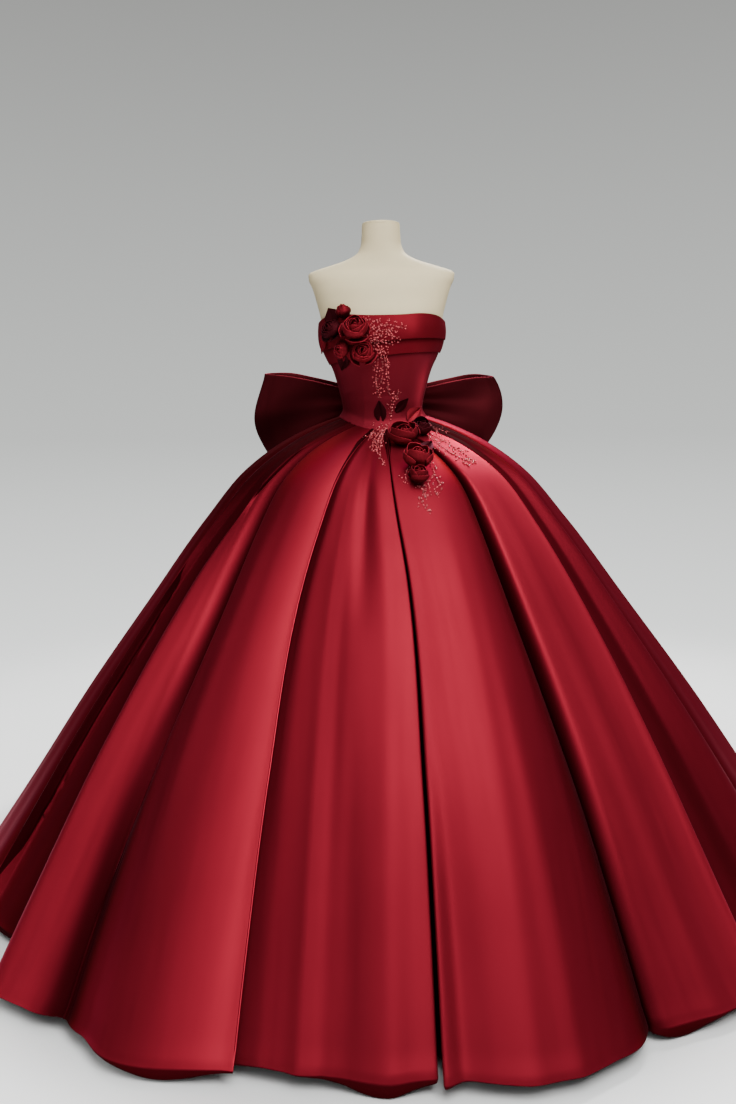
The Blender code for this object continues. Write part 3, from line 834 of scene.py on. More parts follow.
@dataclass(frozen=True)
class Pleat:
    """A pleat between two panels."""

    track: tuple[float, ...]  # Azimuth at the waist, hip, knee, calf and hem
    kind: FoldKind  # How the panels meet
    reach: Pair = (1.0, 1.0)  # Reach of the left and the right panel's side, as shares of the lap
    deep: Pair = (1.0, 1.0)  # Depth at the waist and the hem, as shares of its full depth
    dark: Pair = (1.0, 1.0)  # Strength of the fold's painted shade at the waist and at the hem


@dataclass(frozen=True)
class Fold:
    """A soft ridge or trough that runs down a panel."""

    place: float  # Share of the panel's width at its upper end
    drift: float  # Change of that share down to the hem
    width: float  # Half width, as a share of the panel's
    depth: int  # Height of the ridge at the hem, in millimetres; a trough is negative
    start: float = 0.0  # Share of the skirt's length where it begins
    end: float = 1.4  # Share where it has died away


@dataclass(frozen=True)
class Panel:
    """A skirt panel between two pleats."""

    # How far it stands out near the hem, in millimetres, at each quarter of its width
    stand: tuple[int, ...]
    folds: tuple[Fold, ...] = ()
    lit: Pair = (0.0, 0.0)  # Painted highlight on its left and right edge
    shade: Pair = (0.0, 0.0)  # Painted shade at the hip and the hem; below 0, painted light
    hip_end: float = 0.5  # Share of the skirt's length where the hip's painted shade has ended


@dataclass(frozen=True)
class SkirtShape:
    """Rings of the skirt: height, crest radius, front dip, depth ratio, pleat depth, lap.

    The lap is in degrees: how far a pleat reaches sideways under its neighbour.
    """

    rings: Table = (
        (1.158, 0.112, 0.036, 0.91, 0.009, 3.4),
        (1.137, 0.17, 0.032, 0.94, 0.014, 3.4),
        (1.09, 0.262, 0.018, 0.97, 0.024, 3.5),
        (1.02, 0.354, 0.006, 0.99, 0.036, 3.6),
        (0.9, 0.452, 0.0, 1.0, 0.048, 3.8),
        (0.7, 0.594, 0.0, 1.0, 0.06, 4.0),
        (0.45, 0.77, 0.0, 1.0, 0.072, 4.2),
        (0.2, 0.932, 0.0, 1.0, 0.084, 4.3),
        (0.03, 1.045, 0.0, 1.0, 0.09, 4.3),
    )

    def lengths(self) -> Array:
        """Length along the cloth from the waist to each ring."""
        return running_length(np.array([ring[:2] for ring in self.rings]))

    def at(self, share: Array) -> Array:
        """Ring values at shares of the skirt's length, one row each."""
        lengths = self.lengths()
        return read_smooth(lengths, self.rings, np.asarray(share) * lengths[-1])

    def share_at_height(self, height: float) -> float:
        """Share of the skirt's length at a height of its side."""
        shares = np.linspace(0.0, 1.0, 400)
        return float(np.interp(-height, -self.at(shares)[:, 0], shares))


@dataclass
class Skirt:
    """Sixteen pleated panels round the hoop-wide bell of the skirt."""

    shape: SkirtShape  # Rings that the pleats' crests follow
    # The pleat at the left of each panel, in order round the skirt
    pleats: tuple[Pleat, ...] = (
        Pleat((3.3, 3.0, 5.7, 5.5, 4.8), FoldKind.BOX, (1.0, 1.0), (1.0, 0.7), (3.2, 1.1)),
        Pleat((22.0, 31.0, 31.6, 30.6, 28.3), FoldKind.VALLEY, (1.05, 0.5), (1.0, 0.38)),
        Pleat((42.0, 49.5, 50.4, 46.6, 43.4), FoldKind.LEFT_OVER, (1.0, 2.1), (1.2, 1.4),
              (1.6, 1.0)),
        Pleat((64.0, 69.0, 71.6, 71.0, 70.0), FoldKind.VALLEY, (0.9, 1.3), (1.0, 0.8)),
        Pleat((88.0, 90.0, 92.5, 92.8, 92.5), FoldKind.LEFT_OVER, (1.0, 2.0)),
        Pleat((113.0, 114.6, 115.4, 115.2, 116.0), FoldKind.VALLEY, (1.5, 1.2), (1.0, 0.8)),
        Pleat((137.0, 138.0, 139.4, 139.0, 140.0), FoldKind.RIGHT_OVER, (2.0, 1.0)),
        Pleat((162.0, 163.4, 164.4, 163.6, 165.0), FoldKind.VALLEY, (1.1, 1.6)),
        Pleat((187.0, 188.0, 190.2, 189.6, 189.0), FoldKind.LEFT_OVER, (1.0, 1.8)),
        Pleat((212.0, 213.4, 214.6, 213.2, 213.5), FoldKind.BOX),
        Pleat((237.0, 238.0, 239.6, 239.2, 238.5), FoldKind.VALLEY, (1.5, 1.2), (1.0, 0.85)),
        Pleat((262.0, 263.6, 264.4, 263.2, 263.0), FoldKind.RIGHT_OVER, (1.9, 1.0)),
        Pleat((288.0, 287.0, 286.4, 287.6, 288.5), FoldKind.VALLEY, (1.4, 1.3)),
        Pleat((312.0, 313.5, 306.0, 307.2, 309.8), FoldKind.RIGHT_OVER, (2.5, 1.0), (1.0, 1.2),
              (1.6, 1.2)),
        Pleat((322.0, 318.0, 319.4, 320.9, 324.6), FoldKind.VALLEY, (0.9, 0.7), (1.2, -0.06),
              (1.3, 1.2)),
        Pleat((349.0, 343.5, 340.9, 342.8, 345.2), FoldKind.LEFT_OVER, (1.0, 0.5), (0.3, 0.22),
              (0.3, 0.1)),
    )
    panels: tuple[Panel, ...] = (
        Panel((16, 29, 35, 33, 16), (Fold(0.6, -0.18, 0.1, 4, 0.1),
            Fold(0.02, 0.0, 0.22, -16, 0.55), Fold(0.74, -0.02, 0.08, 3, 0.35)), (0.0, -0.15),
            (0.1, 0.1)),
        Panel((-16, -8, 3, 15, 28), (Fold(0.34, 0.1, 0.16, 4, 0.05),), (0.0, 0.55), (-0.3, 0.0)),
        Panel((-30, 4, 28, 32, 6), (Fold(0.84, 0.0, 0.08, -6, 0.35),), (-0.6, 0.0), (0.95, 0.02),
            0.24),
        Panel((0, 24, 30, 20, 4), (Fold(0.35, 0.06, 0.14, 10, 0.1),
            Fold(0.64, -0.06, 0.1, -8, 0.25))),
        Panel((-8, 18, 30, 22, -4), (Fold(0.45, -0.08, 0.13, 10, 0.1),
            Fold(0.74, 0.05, 0.1, -8, 0.2))),
        Panel((-6, 24, 30, 16, 0), (Fold(0.55, 0.06, 0.15, 10, 0.05),
            Fold(0.26, -0.04, 0.09, -7, 0.3))),
        Panel((0, 16, 26, 24, -8), (Fold(0.4, 0.1, 0.12, -10, 0.15),
            Fold(0.66, 0.0, 0.13, 10, 0.1))),
        Panel((-6, 22, 28, 16, 0), (Fold(0.5, -0.1, 0.14, 10, 0.1),
            Fold(0.76, 0.02, 0.09, -8, 0.45))),
        Panel((-10, 18, 30, 22, 0), (Fold(0.36, 0.05, 0.12, 10, 0.05),
            Fold(0.64, 0.05, 0.1, -10, 0.2))),
        Panel((0, 20, 26, 18, -6), (Fold(0.6, -0.06, 0.14, 10, 0.1),
            Fold(0.34, 0.04, 0.09, -8, 0.3))),
        Panel((-6, 24, 32, 20, -6), (Fold(0.42, 0.08, 0.13, 10, 0.05),
            Fold(0.72, 0.0, 0.1, -8, 0.2))),
        Panel((4, 22, 24, 20, -4), (Fold(0.3, 0.05, 0.12, 10, 0.1),
            Fold(0.58, 0.04, 0.11, -10, 0.15)), (0.0, 0.0), (0.7, 0.0)),
        Panel((-20, 2, 6, -8, -30), (Fold(0.42, 0.0, 0.16, 10, 0.05),
            Fold(0.16, 0.05, 0.09, -6, 0.2)), (0.0, 0.0), (0.98, 0.0)),
        Panel((-6, 44, 48, 42, 34), (Fold(0.42, 0.0, 0.16, 6, 0.05),), (-1.2, 0.0), (0.66, -0.8)),
        Panel((24, 52, 46, 24, 4), (Fold(0.3, -0.1, 0.1, 3, 0.1, 0.9),
            Fold(0.46, -0.14, 0.09, -4, 0.1, 0.8)), (0.0, 0.9), (0.36, 0.06)),
        Panel((-18, -10, -4, 0, -6), (Fold(0.2, 0.02, 0.05, 3, 0.12),
            Fold(0.36, 0.02, 0.06, -3, 0.2), Fold(0.56, 0.0, 0.13, -30, -0.1, 0.5),
            Fold(0.5, 0.0, 0.13, -7, 0.5), Fold(0.84, -0.02, 0.1, 5, 0.05)), (0.32, 0.1),
            (0.16, 0.13)),
    )
    # Heights of the skirt's side that the pleats' tracks are given at
    track_heights: tuple[float, ...] = (1.158, 1.03, 0.8, 0.45, 0.03)
    rows: int = 110  # Points down a panel
    columns: int = 88  # Points across it, its returns included
    row_crowding: float = 1.2  # Power that crowds the rows towards the waist
    face_controls: int = 9  # Control points across a panel's face
    arch_growth: float = 1.1  # Power of the radius with which a panel's arch grows
    thickness: float = 0.0024  # Thickness of the satin with its interlining
    seam_gap: float = 0.0003  # How far a panel's seam edge keeps from the pleat's track
    hem_roll: float = 0.0035  # How far the hem is rolled out
    hem_band: float = 0.014  # Width of that roll
    # Shares of the length between which a pleat goes from its waist to its hem
    fold_run: Pair = (0.2, 0.95)
    turned: float = 0.94  # Depth in a fold where the panel's arch has gone
    lit_to: float = 0.15  # Depth in a fold down to which a panel's edge gets its painted highlight
    darkening: float = 1.3  # How fast the painted shade grows with the depth
    lap_clear: float = 0.18  # Depth down to which a lapping edge has no painted shade
    fade: float = 0.3  # Share of the length over which a soft fold begins and dies away
    # Shares of the width between which the soft folds end at a return
    return_edge: Pair = (-0.12, 0.05)
    # Where the lining shows below the hem: azimuth, half width and drop
    lining_lobes: Table = (
        (-21.5, 4.8, 0.023), (-0.6, 4.6, 0.027), (32.0, 4.0, 0.026), (74.0, 7.0, 0.018),
        (118.0, 9.0, 0.018), (168.0, 8.0, 0.015), (214.0, 9.0, 0.019), (262.0, 7.0, 0.016),
        (300.0, 8.0, 0.018))

    def build(self) -> list[Piece]:
        """Build and hang every panel.

        Returns:
            The panels, in order.
        """
        share = np.linspace(0.0, 1.0, self.rows) ** self.row_crowding
        made = []
        for i, panel in enumerate(self.panels):
            left, right = self.pleats[i], self.pleats[(i + 1) % len(self.pleats)]
            grid, depths = self.panel_grid(panel, left, right, share)
            # The panel's painted shade goes on its outer face, and its lining gets full painted
            # shade
            sheet = ClothSheet(grid, self.thickness, depths=depths, lining=1.0,
                               lining_drop=self.drop(grid[-1]))
            made.append(sewn_sheet(f"skirt_cloth_{i + 1:02d}", sheet, SKIRT_SATIN,
                                   f"skirt_panel_{i + 1:02d}"))
        return made

    def drop(self, hem: Array) -> Array:
        """How far the lining hangs below the hem, at each of the hem's points."""
        azimuth = np.degrees(np.arctan2(hem[:, 0], -hem[:, 1]))
        return np.sum([size * hump(wrapped(azimuth - centre), 0.0, width)
                       for centre, width, size in self.lining_lobes], axis=0)

    def track(self, pleat: Pleat, share: Array) -> Array:
        """Azimuth of a pleat at shares of the skirt's length."""
        keys = [self.shape.share_at_height(height) for height in self.track_heights]
        return read_smooth(keys, np.array(pleat.track)[:, None], share)[:, 0]

    def growth(self, rings: Array) -> Array:
        """Height of a panel's arch at each row, as a share of that at the hem."""
        return (rings[:, 1] / rings[-1, 1]) ** self.arch_growth

    def turned_edge(self, panel: Panel, pleat: Pleat, side: int, rings: Array,
                    share: Array) -> tuple[Array, list[Array], list[Array]]:
        """Controls of a panel's edge where it turns into a pleat, from the seam outwards.

        Args:
            panel: The panel.
            pleat: The pleat.
            side: 0 if the panel is the pleat's left one, 1 if it is the right one.
            rings: The skirt's ring at each row.
            share: Share of the length at each row.

        Returns:
            Each control's place, as a share of the lap, and its depth and painted shade down the
            rows.
        """
        laps = (FoldKind.LEFT_OVER, FoldKind.RIGHT_OVER)
        table = np.array(pleat.kind.value[side]) * (pleat.reach[side], 1.0)
        if pleat.kind is laps[1 - side]:
            table[:3, 0] = np.array(UNDER_SIDE)[:3, 0]
        clear = self.lap_clear if pleat.kind is laps[side] else 0.0
        deep = eased(pleat.deep, *self.fold_run, share)
        dark = eased(pleat.dark, *self.fold_run, share)
        stand, growth = panel.stand[4 - 4 * side] / MM_PER_M, self.growth(rings)
        depths = [sink * rings[:, 4] * deep
                  - stand * growth * max(0.0, 1.0 - sink / self.turned) for sink in table[:, 1]]
        # Painted shade deep in the fold, and a painted highlight on the panel's edge
        shades = [np.clip(self.darkening * (sink - clear) * dark, 0.0, 1.0)
                  - panel.lit[1 - side] * float(sink < self.lit_to) for sink in table[:, 1]]
        return table[:, 0], depths, shades

    def panel_grid(self, panel: Panel, left: Pleat, right: Pleat,
                   share: Array) -> tuple[Array, Array]:
        """Outer face of a panel, from the seam in its left pleat to that in its right one.

        Args:
            panel: The panel.
            left: Pleat at its left.
            right: Pleat at its right.
            share: Share of the length at each row.

        Returns:
            Grid of points, and the painted shade of each.
        """
        rings = self.shape.at(share)
        gap, lap = np.degrees(self.seam_gap / rings[:, 1]), rings[:, 5]
        growth = self.growth(rings)
        start, end = self.track(left, share), self.track(right, share)
        end = np.where(end < start, end + 360.0, end)
        near, depths, shades = self.turned_edge(panel, left, 1, rings, share)
        far, far_depths, far_shades = self.turned_edge(panel, right, 0, rings, share)
        azimuths = [start + gap + place * lap for place in near]
        far_azimuths = [end - gap - place * lap for place in far]
        face_start, face_end = azimuths[-1], far_azimuths[-1]
        stations = (np.arange(self.face_controls) + 0.7) / (self.face_controls + 0.4)
        stands = read_smooth(QUARTERS, np.array(panel.stand) / MM_PER_M, stations)[:, 0]
        for u, stand in zip(stations, stands):
            azimuths.append(face_start + (face_end - face_start) * u)
            depths.append(-stand * growth)
            # Painted highlights across the face towards its left and right edges
            shades.append(np.full_like(share, -panel.lit[0] * (1.0 - u) ** 3
                                       - panel.lit[1] * u ** 3))
        azimuths, depths, shades = (first + last[::-1] for first, last in (
            (azimuths, far_azimuths), (depths, far_depths), (shades, far_shades)))
        weights = spline_weights(len(azimuths), self.columns)
        azimuth, sunk, shade = ((weights @ np.array(controls)).T
                                for controls in (azimuths, depths, shades))
        across = (azimuth - face_start[:, None]) / (face_end - face_start)[:, None]
        sunk = sunk - self.soft_folds(panel, across, share) * growth[:, None]
        # Painted shade over the hip and at the hem for the whole panel; below 0 it paints light
        tone = eased(panel.shade, 0.24 * panel.hip_end, panel.hip_end, share)
        shade = shade + tone[:, None] * (1.0 - np.clip(shade, 0.0, 1.0))
        return self.wrap(azimuth, sunk, rings, share), shade

    def soft_folds(self, panel: Panel, across: Array, share: Array) -> Array:
        """Height of a panel's soft folds, at the hem's scale.

        Args:
            panel: The panel.
            across: Share of the panel's width at each point.
            share: Share of the length at each row.

        Returns:
            Heights, 0 in the returns.
        """
        relief = np.zeros_like(across)
        down = share[:, None]
        for fold in panel.folds:
            centre = fold.place + fold.drift * down
            length = ease_between(fold.start, fold.start + self.fade, down) \
                * (1.0 - ease_between(fold.end - self.fade, fold.end, down))
            relief += fold.depth / MM_PER_M * length * hump(across, centre, fold.width)
        return relief * ease_between(*self.return_edge, across) \
            * ease_between(*self.return_edge, 1.0 - across)

    def wrap(self, azimuth: Array, sunk: Array, rings: Array, share: Array) -> Array:
        """Points of the cloth from its azimuths and depths, with the rolled hem.

        Args:
            azimuth: Azimuth of each point.
            sunk: How far each point lies inside the crest.
            rings: The skirt's ring at each row.
            share: Share of the length at each row.

        Returns:
            Grid of points.
        """
        height, radius, dip, ratio = rings.T[:4, :, None]
        angle = np.radians(azimuth)
        to_hem = (1.0 - share) * self.shape.lengths()[-1]
        roll = self.hem_roll * hump(to_hem, self.hem_band * 0.4, self.hem_band)
        r = radius - sunk + roll[:, None]
        return np.stack([r * np.sin(angle), -r * ratio * np.cos(angle),
                         height - dip * frontness(azimuth) ** 2], axis=2)


# ---- the bodice
@dataclass(frozen=True)
class Band:
    """A folded band across the bodice front."""

    name: str
    node: str  # CAD node that it stands for
    lower: float  # Height of its lower fold at the centre front
    slant: float  # Rise of that fold for each metre to the right
    standoff: float  # Distance of its back from the form
    puff: float  # How far its middle stands out from its back
    top_setback: float  # How far its upper edge lies under the bodice's


@dataclass
class Bodice:
    """Boned bodice in three pieces, with two folded bands over the bust."""

    body: BodyShape  # The form that it is fitted to
    skirt: SkirtShape  # The skirt that it is sewn to
    standoff: float = 0.0032  # Distance of the cloth from the form
    thickness: float = 0.0016  # Thickness of the cloth with its lining
    front_top: float = 1.397  # Height of the top edge at the centre front
    back_top: float = 1.36  # Its height at the centre back
    # Height, azimuth and spread of its rise beside the bust
    side_rise: tuple[float, float, float] = (0.007, 48.0, 26.0)
    waist: float = 1.158  # Height of the waist seam at the sides
    basque_drop: float = 0.036  # How far it dips at the front
    flare: float = 0.025  # Height over which the cloth flares out to the skirt
    seam_clearance: float = 0.0015  # How far it lies over the skirt's edge at the seam
    side_gap: float = 0.02  # Half the gap at a side seam, in degrees
    rows: int = 96  # Points down a piece
    # For each piece its CAD node, azimuths of its edges, and points across
    pieces: tuple[tuple[str, float, float, int], ...] = (
        ("bodice_front", -90.0, 90.0, 121), ("bodice_back_right", 90.0, 180.0, 61),
        ("bodice_back_left", 180.0, 270.0, 61))
    flare_light: Pair = (0.08, 0.036)  # Painted light on the flare: its amount, and its height
    # Painted light down the right side: amount, azimuth and spread
    side_light: tuple[float, float, float] = (1.1, 60.0, 14.0)
    side_light_end: Pair = (1.24, 1.32)  # Heights between which that painted light dies away
    # Azimuths of the boning channels, with their relief and width
    boning: tuple[tuple[float, ...], float, float] = (
        (-62.0, -24.0, 24.0, 62.0, 118.0, 152.0, 208.0, 242.0), 0.0005, 2.6)
    # Pull creases at the waist: azimuth, height, width and relief
    pulls: Table = (
        (-30.0, 1.196, 26.0, 0.0011), (12.0, 1.209, 30.0, -0.0012), (38.0, 1.19, 22.0, 0.0013),
        (-52.0, 1.217, 20.0, -0.001), (58.0, 1.222, 18.0, 0.0009),
        (200.0, 1.2, 40.0, 0.0012), (150.0, 1.212, 30.0, -0.001))
    pull_slope: float = 0.00025  # Rise of a pull crease for each degree
    pull_height: float = 0.0075  # Half width of a pull crease
    band_end: float = 89.0  # Azimuth where a band ends in the side seam
    band_columns: int = 121  # Points along a band
    band_rows: int = 34  # Points down its face
    turn_rows: int = 9  # Points round its turned edge
    turn_radius: float = 0.62  # Radius of that edge, as a share of the puff
    turned_under: float = 0.012  # Width that is turned under
    band_thickness: float = 0.0008  # Thickness of its cloth
    # The bands, the lower one first
    bands: tuple[Band, ...] = (
        Band("bodice_fold_lower", "bodice_band_lower", 1.304, 0.1, 0.0036, 0.003, 0.004),
        Band("bodice_fold_upper", "bodice_band_upper", 1.337, 0.08, 0.0058, 0.0042, 0.0),
    )

    def top(self, azimuth: Array) -> Array:
        """Top edge: straight over the front, dipping to the back.

        Args:
            azimuth: Degrees from the front.

        Returns:
            Its height at each azimuth.
        """
        height, place, spread = self.side_rise
        share = (1.0 - np.cos(np.radians(azimuth))) / 2.0
        rise = height * hump(np.abs(wrapped(azimuth)), place, spread)
        return self.front_top + (self.back_top - self.front_top) * share ** 2 + rise

    def bottom(self, azimuth: Array) -> Array:
        """Height of the waist seam, which dips to a basque point at the front."""
        return self.waist - self.basque_drop * frontness(azimuth) ** 2

    def face(self, azimuths: Array) -> Array:
        """Outer face of the bodice between its top edge and the waist seam.

        Args:
            azimuths: Azimuth of each column.

        Returns:
            Grid of points.
        """
        share = np.linspace(0.0, 1.0, self.rows)[:, None]
        azimuth = np.broadcast_to(azimuths, (self.rows, len(azimuths)))
        height = self.top(azimuth) + (self.bottom(azimuth) - self.top(azimuth)) * share
        points = self.body.outside(azimuth, height, self.standoff + self.creases(azimuth, height))
        rise = np.clip((height - self.bottom(azimuth)) / self.flare, 0.0, 1.0)
        pull = ((1.0 - rise) ** 2)[..., None]
        edge = self.skirt.at(np.array([0.0]))[0]
        angle = np.radians(azimuth)
        hem = np.stack([(edge[1] + self.seam_clearance) * np.sin(angle),
                        -(edge[1] * edge[3] + self.seam_clearance) * np.cos(angle), height], axis=2)
        return points * (1.0 - pull) + hem * pull

    def lit(self, azimuths: Array, height: Array) -> Array:
        """Painted light on the cloth: over the flare and down the right side.

        Args:
            azimuths: Azimuth of each column.
            height: Height of each point.

        Returns:
            Painted light at each point, below 0 in a band's painted shadow.
        """
        (flare_light, flare), (light, place, spread) = self.flare_light, self.side_light
        flared = flare_light * (1.0 - ease_between(0.0, flare, height - self.bottom(azimuths)))
        side = light * hump(azimuths, place, spread) \
            * (1.0 - ease_between(*self.side_light_end, height))
        return flared + side - self.band_shadow(self.bands[0], azimuths, height)

    def band_fold(self, band: Band, azimuths: Array) -> Array:
        """Height of a band's lower fold."""
        level = np.full(len(azimuths), band.lower)
        return band.lower + band.slant * self.body.at(azimuths, level)[:, 0]

    def band_shadow(self, band: Band, azimuths: Array, height: Array) -> Array:
        """Painted shadow on the cloth just below a band."""
        below = (self.band_fold(band, azimuths) - height) / 0.007
        return 0.75 * frontness(azimuths) ** 0.5 * np.exp(-np.clip(below, 0.0, None) ** 2) \
            * (below > -1.0)

    def creases(self, azimuth: Array, height: Array) -> Array:
        """Relief of the boning channels and of the pull creases at the waist.

        Args:
            azimuth: Degrees from the front.
            height: Heights, of the same shape.

        Returns:
            Relief at each point.
        """
        relief = np.zeros_like(height)
        channels, rise, width = self.boning
        for channel in channels:
            lean = channel * (1.0 - 0.1 * np.clip((height - 1.2) / 0.2, -0.5, 1.0))
            relief += rise * hump(azimuth, lean, width)
        for centre, level, width, depth in self.pulls:
            line = level + (azimuth - centre) * self.pull_slope
            relief += depth * hump(azimuth, centre, width) * hump(height, line, self.pull_height)
        return relief

    def build(self) -> list[Piece]:
        """Build the front, the backs and the bands.

        Returns:
            All the pieces.
        """
        made = []
        for name, start, end, columns in self.pieces:
            azimuths = np.linspace(start + self.side_gap, end - self.side_gap, columns)
            grid = self.face(azimuths)
            # Painted light on the bodice, less the lower band's painted shadow, goes in as negative
            # painted shade
            sheet = ClothSheet(grid, self.thickness, depths=-self.lit(azimuths, grid[:, :, 2]))
            made.append(sewn_sheet(f"{name}_cloth", sheet, BODICE_SATIN, name))
        return made + [self.band(band) for band in self.bands]

    def band(self, band: Band) -> Piece:
        """Build a folded band: puffed over its width, turned under along its lower edge.

        Args:
            band: The band.

        Returns:
            Its finished piece.
        """
        azimuths = np.linspace(-self.band_end, self.band_end, self.band_columns)
        lower = self.band_fold(band, azimuths)
        upper = self.top(azimuths) - band.top_setback + 0.0008
        share = np.linspace(0.0, 1.0, self.band_rows)
        sweep = np.linspace(0.0, math.pi, self.turn_rows)[1:]
        radius = band.puff * self.turn_radius
        rows, outs = [], []
        for s in share:
            rows.append(upper + (lower + radius - upper) * s)
            outs.append(band.puff * (0.3 + 0.7 * math.sin(math.pi * min(1.0, 0.12 + 0.55 * s))))
        for a in sweep:
            rows.append(lower + radius * (1.0 - math.sin(a)))
            outs.append(band.puff * 0.86 * (0.5 + 0.5 * math.cos(a)) + 0.0002)
        height = np.array(rows + [lower + self.turned_under])
        out = np.array(outs + [0.0002])[:, None]
        azimuth = np.broadcast_to(azimuths, height.shape)
        drag = 0.0006 * np.sin(azimuth * 0.11 + height * 55.0) \
            + 0.0005 * np.sin(azimuth * 0.23 + 1.3)
        pulled = out * (1.0 + 0.1 * np.sin(azimuth * 0.07)) \
            + drag * ease_between(0.0, 0.4, out / band.puff)
        grid = self.body.outside(azimuth, height, band.standoff + pulled)
        # Painted shade on the band's turned-under edge
        turned = np.array([0.0] * len(share) + [0.9 * a / math.pi for a in sweep] + [0.9])
        depths = np.repeat(turned[:, None], len(azimuths), 1)
        # Painted shadow of the upper band on the lower one
        if band is self.bands[0]:
            depths += self.band_shadow(self.bands[1], azimuths, height)
        return sewn_sheet(band.name, ClothSheet(grid, self.band_thickness, 2, depths), BAND_SATIN,
                          band.node)


# ---- the bow
@dataclass(frozen=True)
class BowLoop:
    """One loop of the bow."""

    node: str  # CAD node that it stands for
    side: float  # 1 for the right loop, -1 for the left one
    stretch: float  # Its reach, as a share of the stations'
    rise: float  # Rise of its outer end at the top
    drop: float  # Drop of its outer end at the bottom
    bulge: float  # How far its outer end bulges
    skew: float  # How much lower than the middle it bulges most
    taper: float  # How far the bottom of its outer end draws in


@dataclass
class Bow:
    """Wide flat bow at the back of the waist: two loops and a knot."""

    # The loops
    loops: tuple[BowLoop, ...] = (
        BowLoop("bow_loop_right", 1.0, 1.0, 0.0, 0.0, 0.02, 0.8, 0.022),
        BowLoop("bow_loop_left", -1.0, 1.04, 0.012, 0.016, 0.036, 1.35, 0.0),
    )
    # Reach, depth, top and bottom in millimetres, from the front layer's inner end to the back's
    stations: Table = (
        (31.5, 118, 1216, 1164),
        (70, 112, 1224, 1162),
        (120, 110, 1233, 1153),
        (185, 112, 1247, 1128),
        (245, 120, 1257, 1103),
        (288, 132, 1261, 1085),
        (307, 150, 1264, 1078),
        (288, 172, 1268, 1082),
        (245, 188, 1270, 1095),
        (185, 192, 1260, 1115),
        (120, 176, 1246, 1140),
        (70, 156, 1232, 1156),
        (31.5, 144, 1218, 1164),
    )
    columns: int = 110  # Points along a loop
    rows: int = 30  # Points down it
    # Creases towards the knot: place from the top, half width and relief
    creases: Table = (
        (0.18, 0.07, 0.003), (0.34, 0.055, -0.002), (0.5, 0.075, 0.0034),
        (0.7, 0.05, -0.0026), (0.86, 0.06, 0.0024))
    thickness: float = 0.0044  # Thickness of the padded satin
    rim_light: float = 1.3  # Painted highlight on its edges
    knot_rings: int = 26  # Rings of points from the knot's bottom to its top
    knot_columns: int = 72  # Points round each ring

    def build(self) -> list[Piece]:
        """Build both loops and the knot.

        Returns:
            The three pieces.
        """
        made = []
        for loop in self.loops:
            grid, depths = self.loop_grid(loop)
            made.append(sewn_sheet(f"{loop.node}_cloth",
                                   ClothSheet(grid, self.thickness, 5, depths,
                                              rim_light=self.rim_light), BOW_SATIN,
                                   loop.node))
        return made + [self.knot()]

    def loop_grid(self, loop: BowLoop) -> tuple[Array, Array]:
        """Outer face of a loop, creased towards the knot.

        Args:
            loop: The loop.

        Returns:
            Grid of points, and the painted shade of each.
        """
        table = np.array(self.stations) / MM_PER_M
        keys = running_length(table[:, :2])
        reach, depth, top, bottom = read_smooth(keys, table,
                                                np.linspace(0.0, keys[-1], self.columns)).T
        share = np.linspace(0.0, 1.0, self.rows)[:, None]
        spread = reach / reach.max()
        out = reach + (loop.stretch - 1.0) * (reach - reach[0]) \
            + (loop.bulge * np.sin(math.pi * share ** loop.skew)
               - loop.taper * share ** 3) * spread ** 6
        height = top + (bottom - top) * share \
            + (loop.rise * (1.0 - share) - loop.drop * share) * spread
        grid = np.stack([loop.side * out, np.broadcast_to(depth, out.shape), height], axis=2)
        if loop.side < 0.0:
            grid = grid[:, ::-1]
        relief = np.zeros(grid.shape[:2])
        nearness = np.exp(-(np.abs(grid[:, :, 0]) - reach[0]) / 0.085)
        for place, width, size in self.creases:
            relief += size * hump(share, place, width) * nearness
        relief += 0.004 * np.sin(share * 5.0 + grid[:, :, 0] * 16.0) * (1.0 - nearness)
        # Painted shade: darker on the lower half and near the knot, deeper in the creases' troughs,
        # lighter on their ridges
        shade = 0.34 * ease_between(0.42, 0.62, share) + 0.3 * nearness
        depths = np.clip(shade - relief / 0.012, 0.0, 0.9)
        return grid + grid_normals(grid) * relief[..., None], depths

    def knot(self) -> Piece:
        """Build the folded knot that wraps the loops' inner ends.

        Returns:
            Its finished piece.
        """
        low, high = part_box("bow_knot")
        centre, half = (low + high) / 2.0, (high - low) / 2.0
        rings, columns = self.knot_rings, self.knot_columns
        v = np.linspace(-1.0, 1.0, rings)[:, None]
        angle = np.linspace(0.0, 2.0 * math.pi, columns + 1)[None, :]
        pinch = 1.0 - 0.06 * v ** 2
        ripple = 1.0 + 0.035 * np.sin(angle * 7.0 + v * 2.2) + 0.02 * np.sin(angle * 11.0 - v * 3.0)
        x = half.x * 0.97 * pinch * ripple * squared_off(np.cos(angle), 0.75)
        y = half.y * 0.95 * ripple * squared_off(np.sin(angle), 0.75)
        z = half.z * 0.95 * v * np.ones_like(angle)
        lid = np.clip((1.0 - np.abs(v)) / 0.16, 0.0, 1.0) ** 0.5
        wall = np.stack([centre.x + x * (0.25 + 0.75 * lid), centre.y + y * (0.25 + 0.75 * lid),
                         centre.z + z], axis=2)[::-1]
        flat = np.stack([np.tile(np.linspace(0.0, 0.2, columns), rings),
                         np.repeat(np.linspace(0.0, 0.07, rings), columns),
                         np.zeros(rings * columns)], axis=1)
        piece = mesh_object("bow_knot_cloth", wall[:, :-1].reshape(-1, 3),
                            tube_faces(rings, columns, flipped=True), flat)
        return finish_piece(piece, BOW_SATIN, "bow_knot")


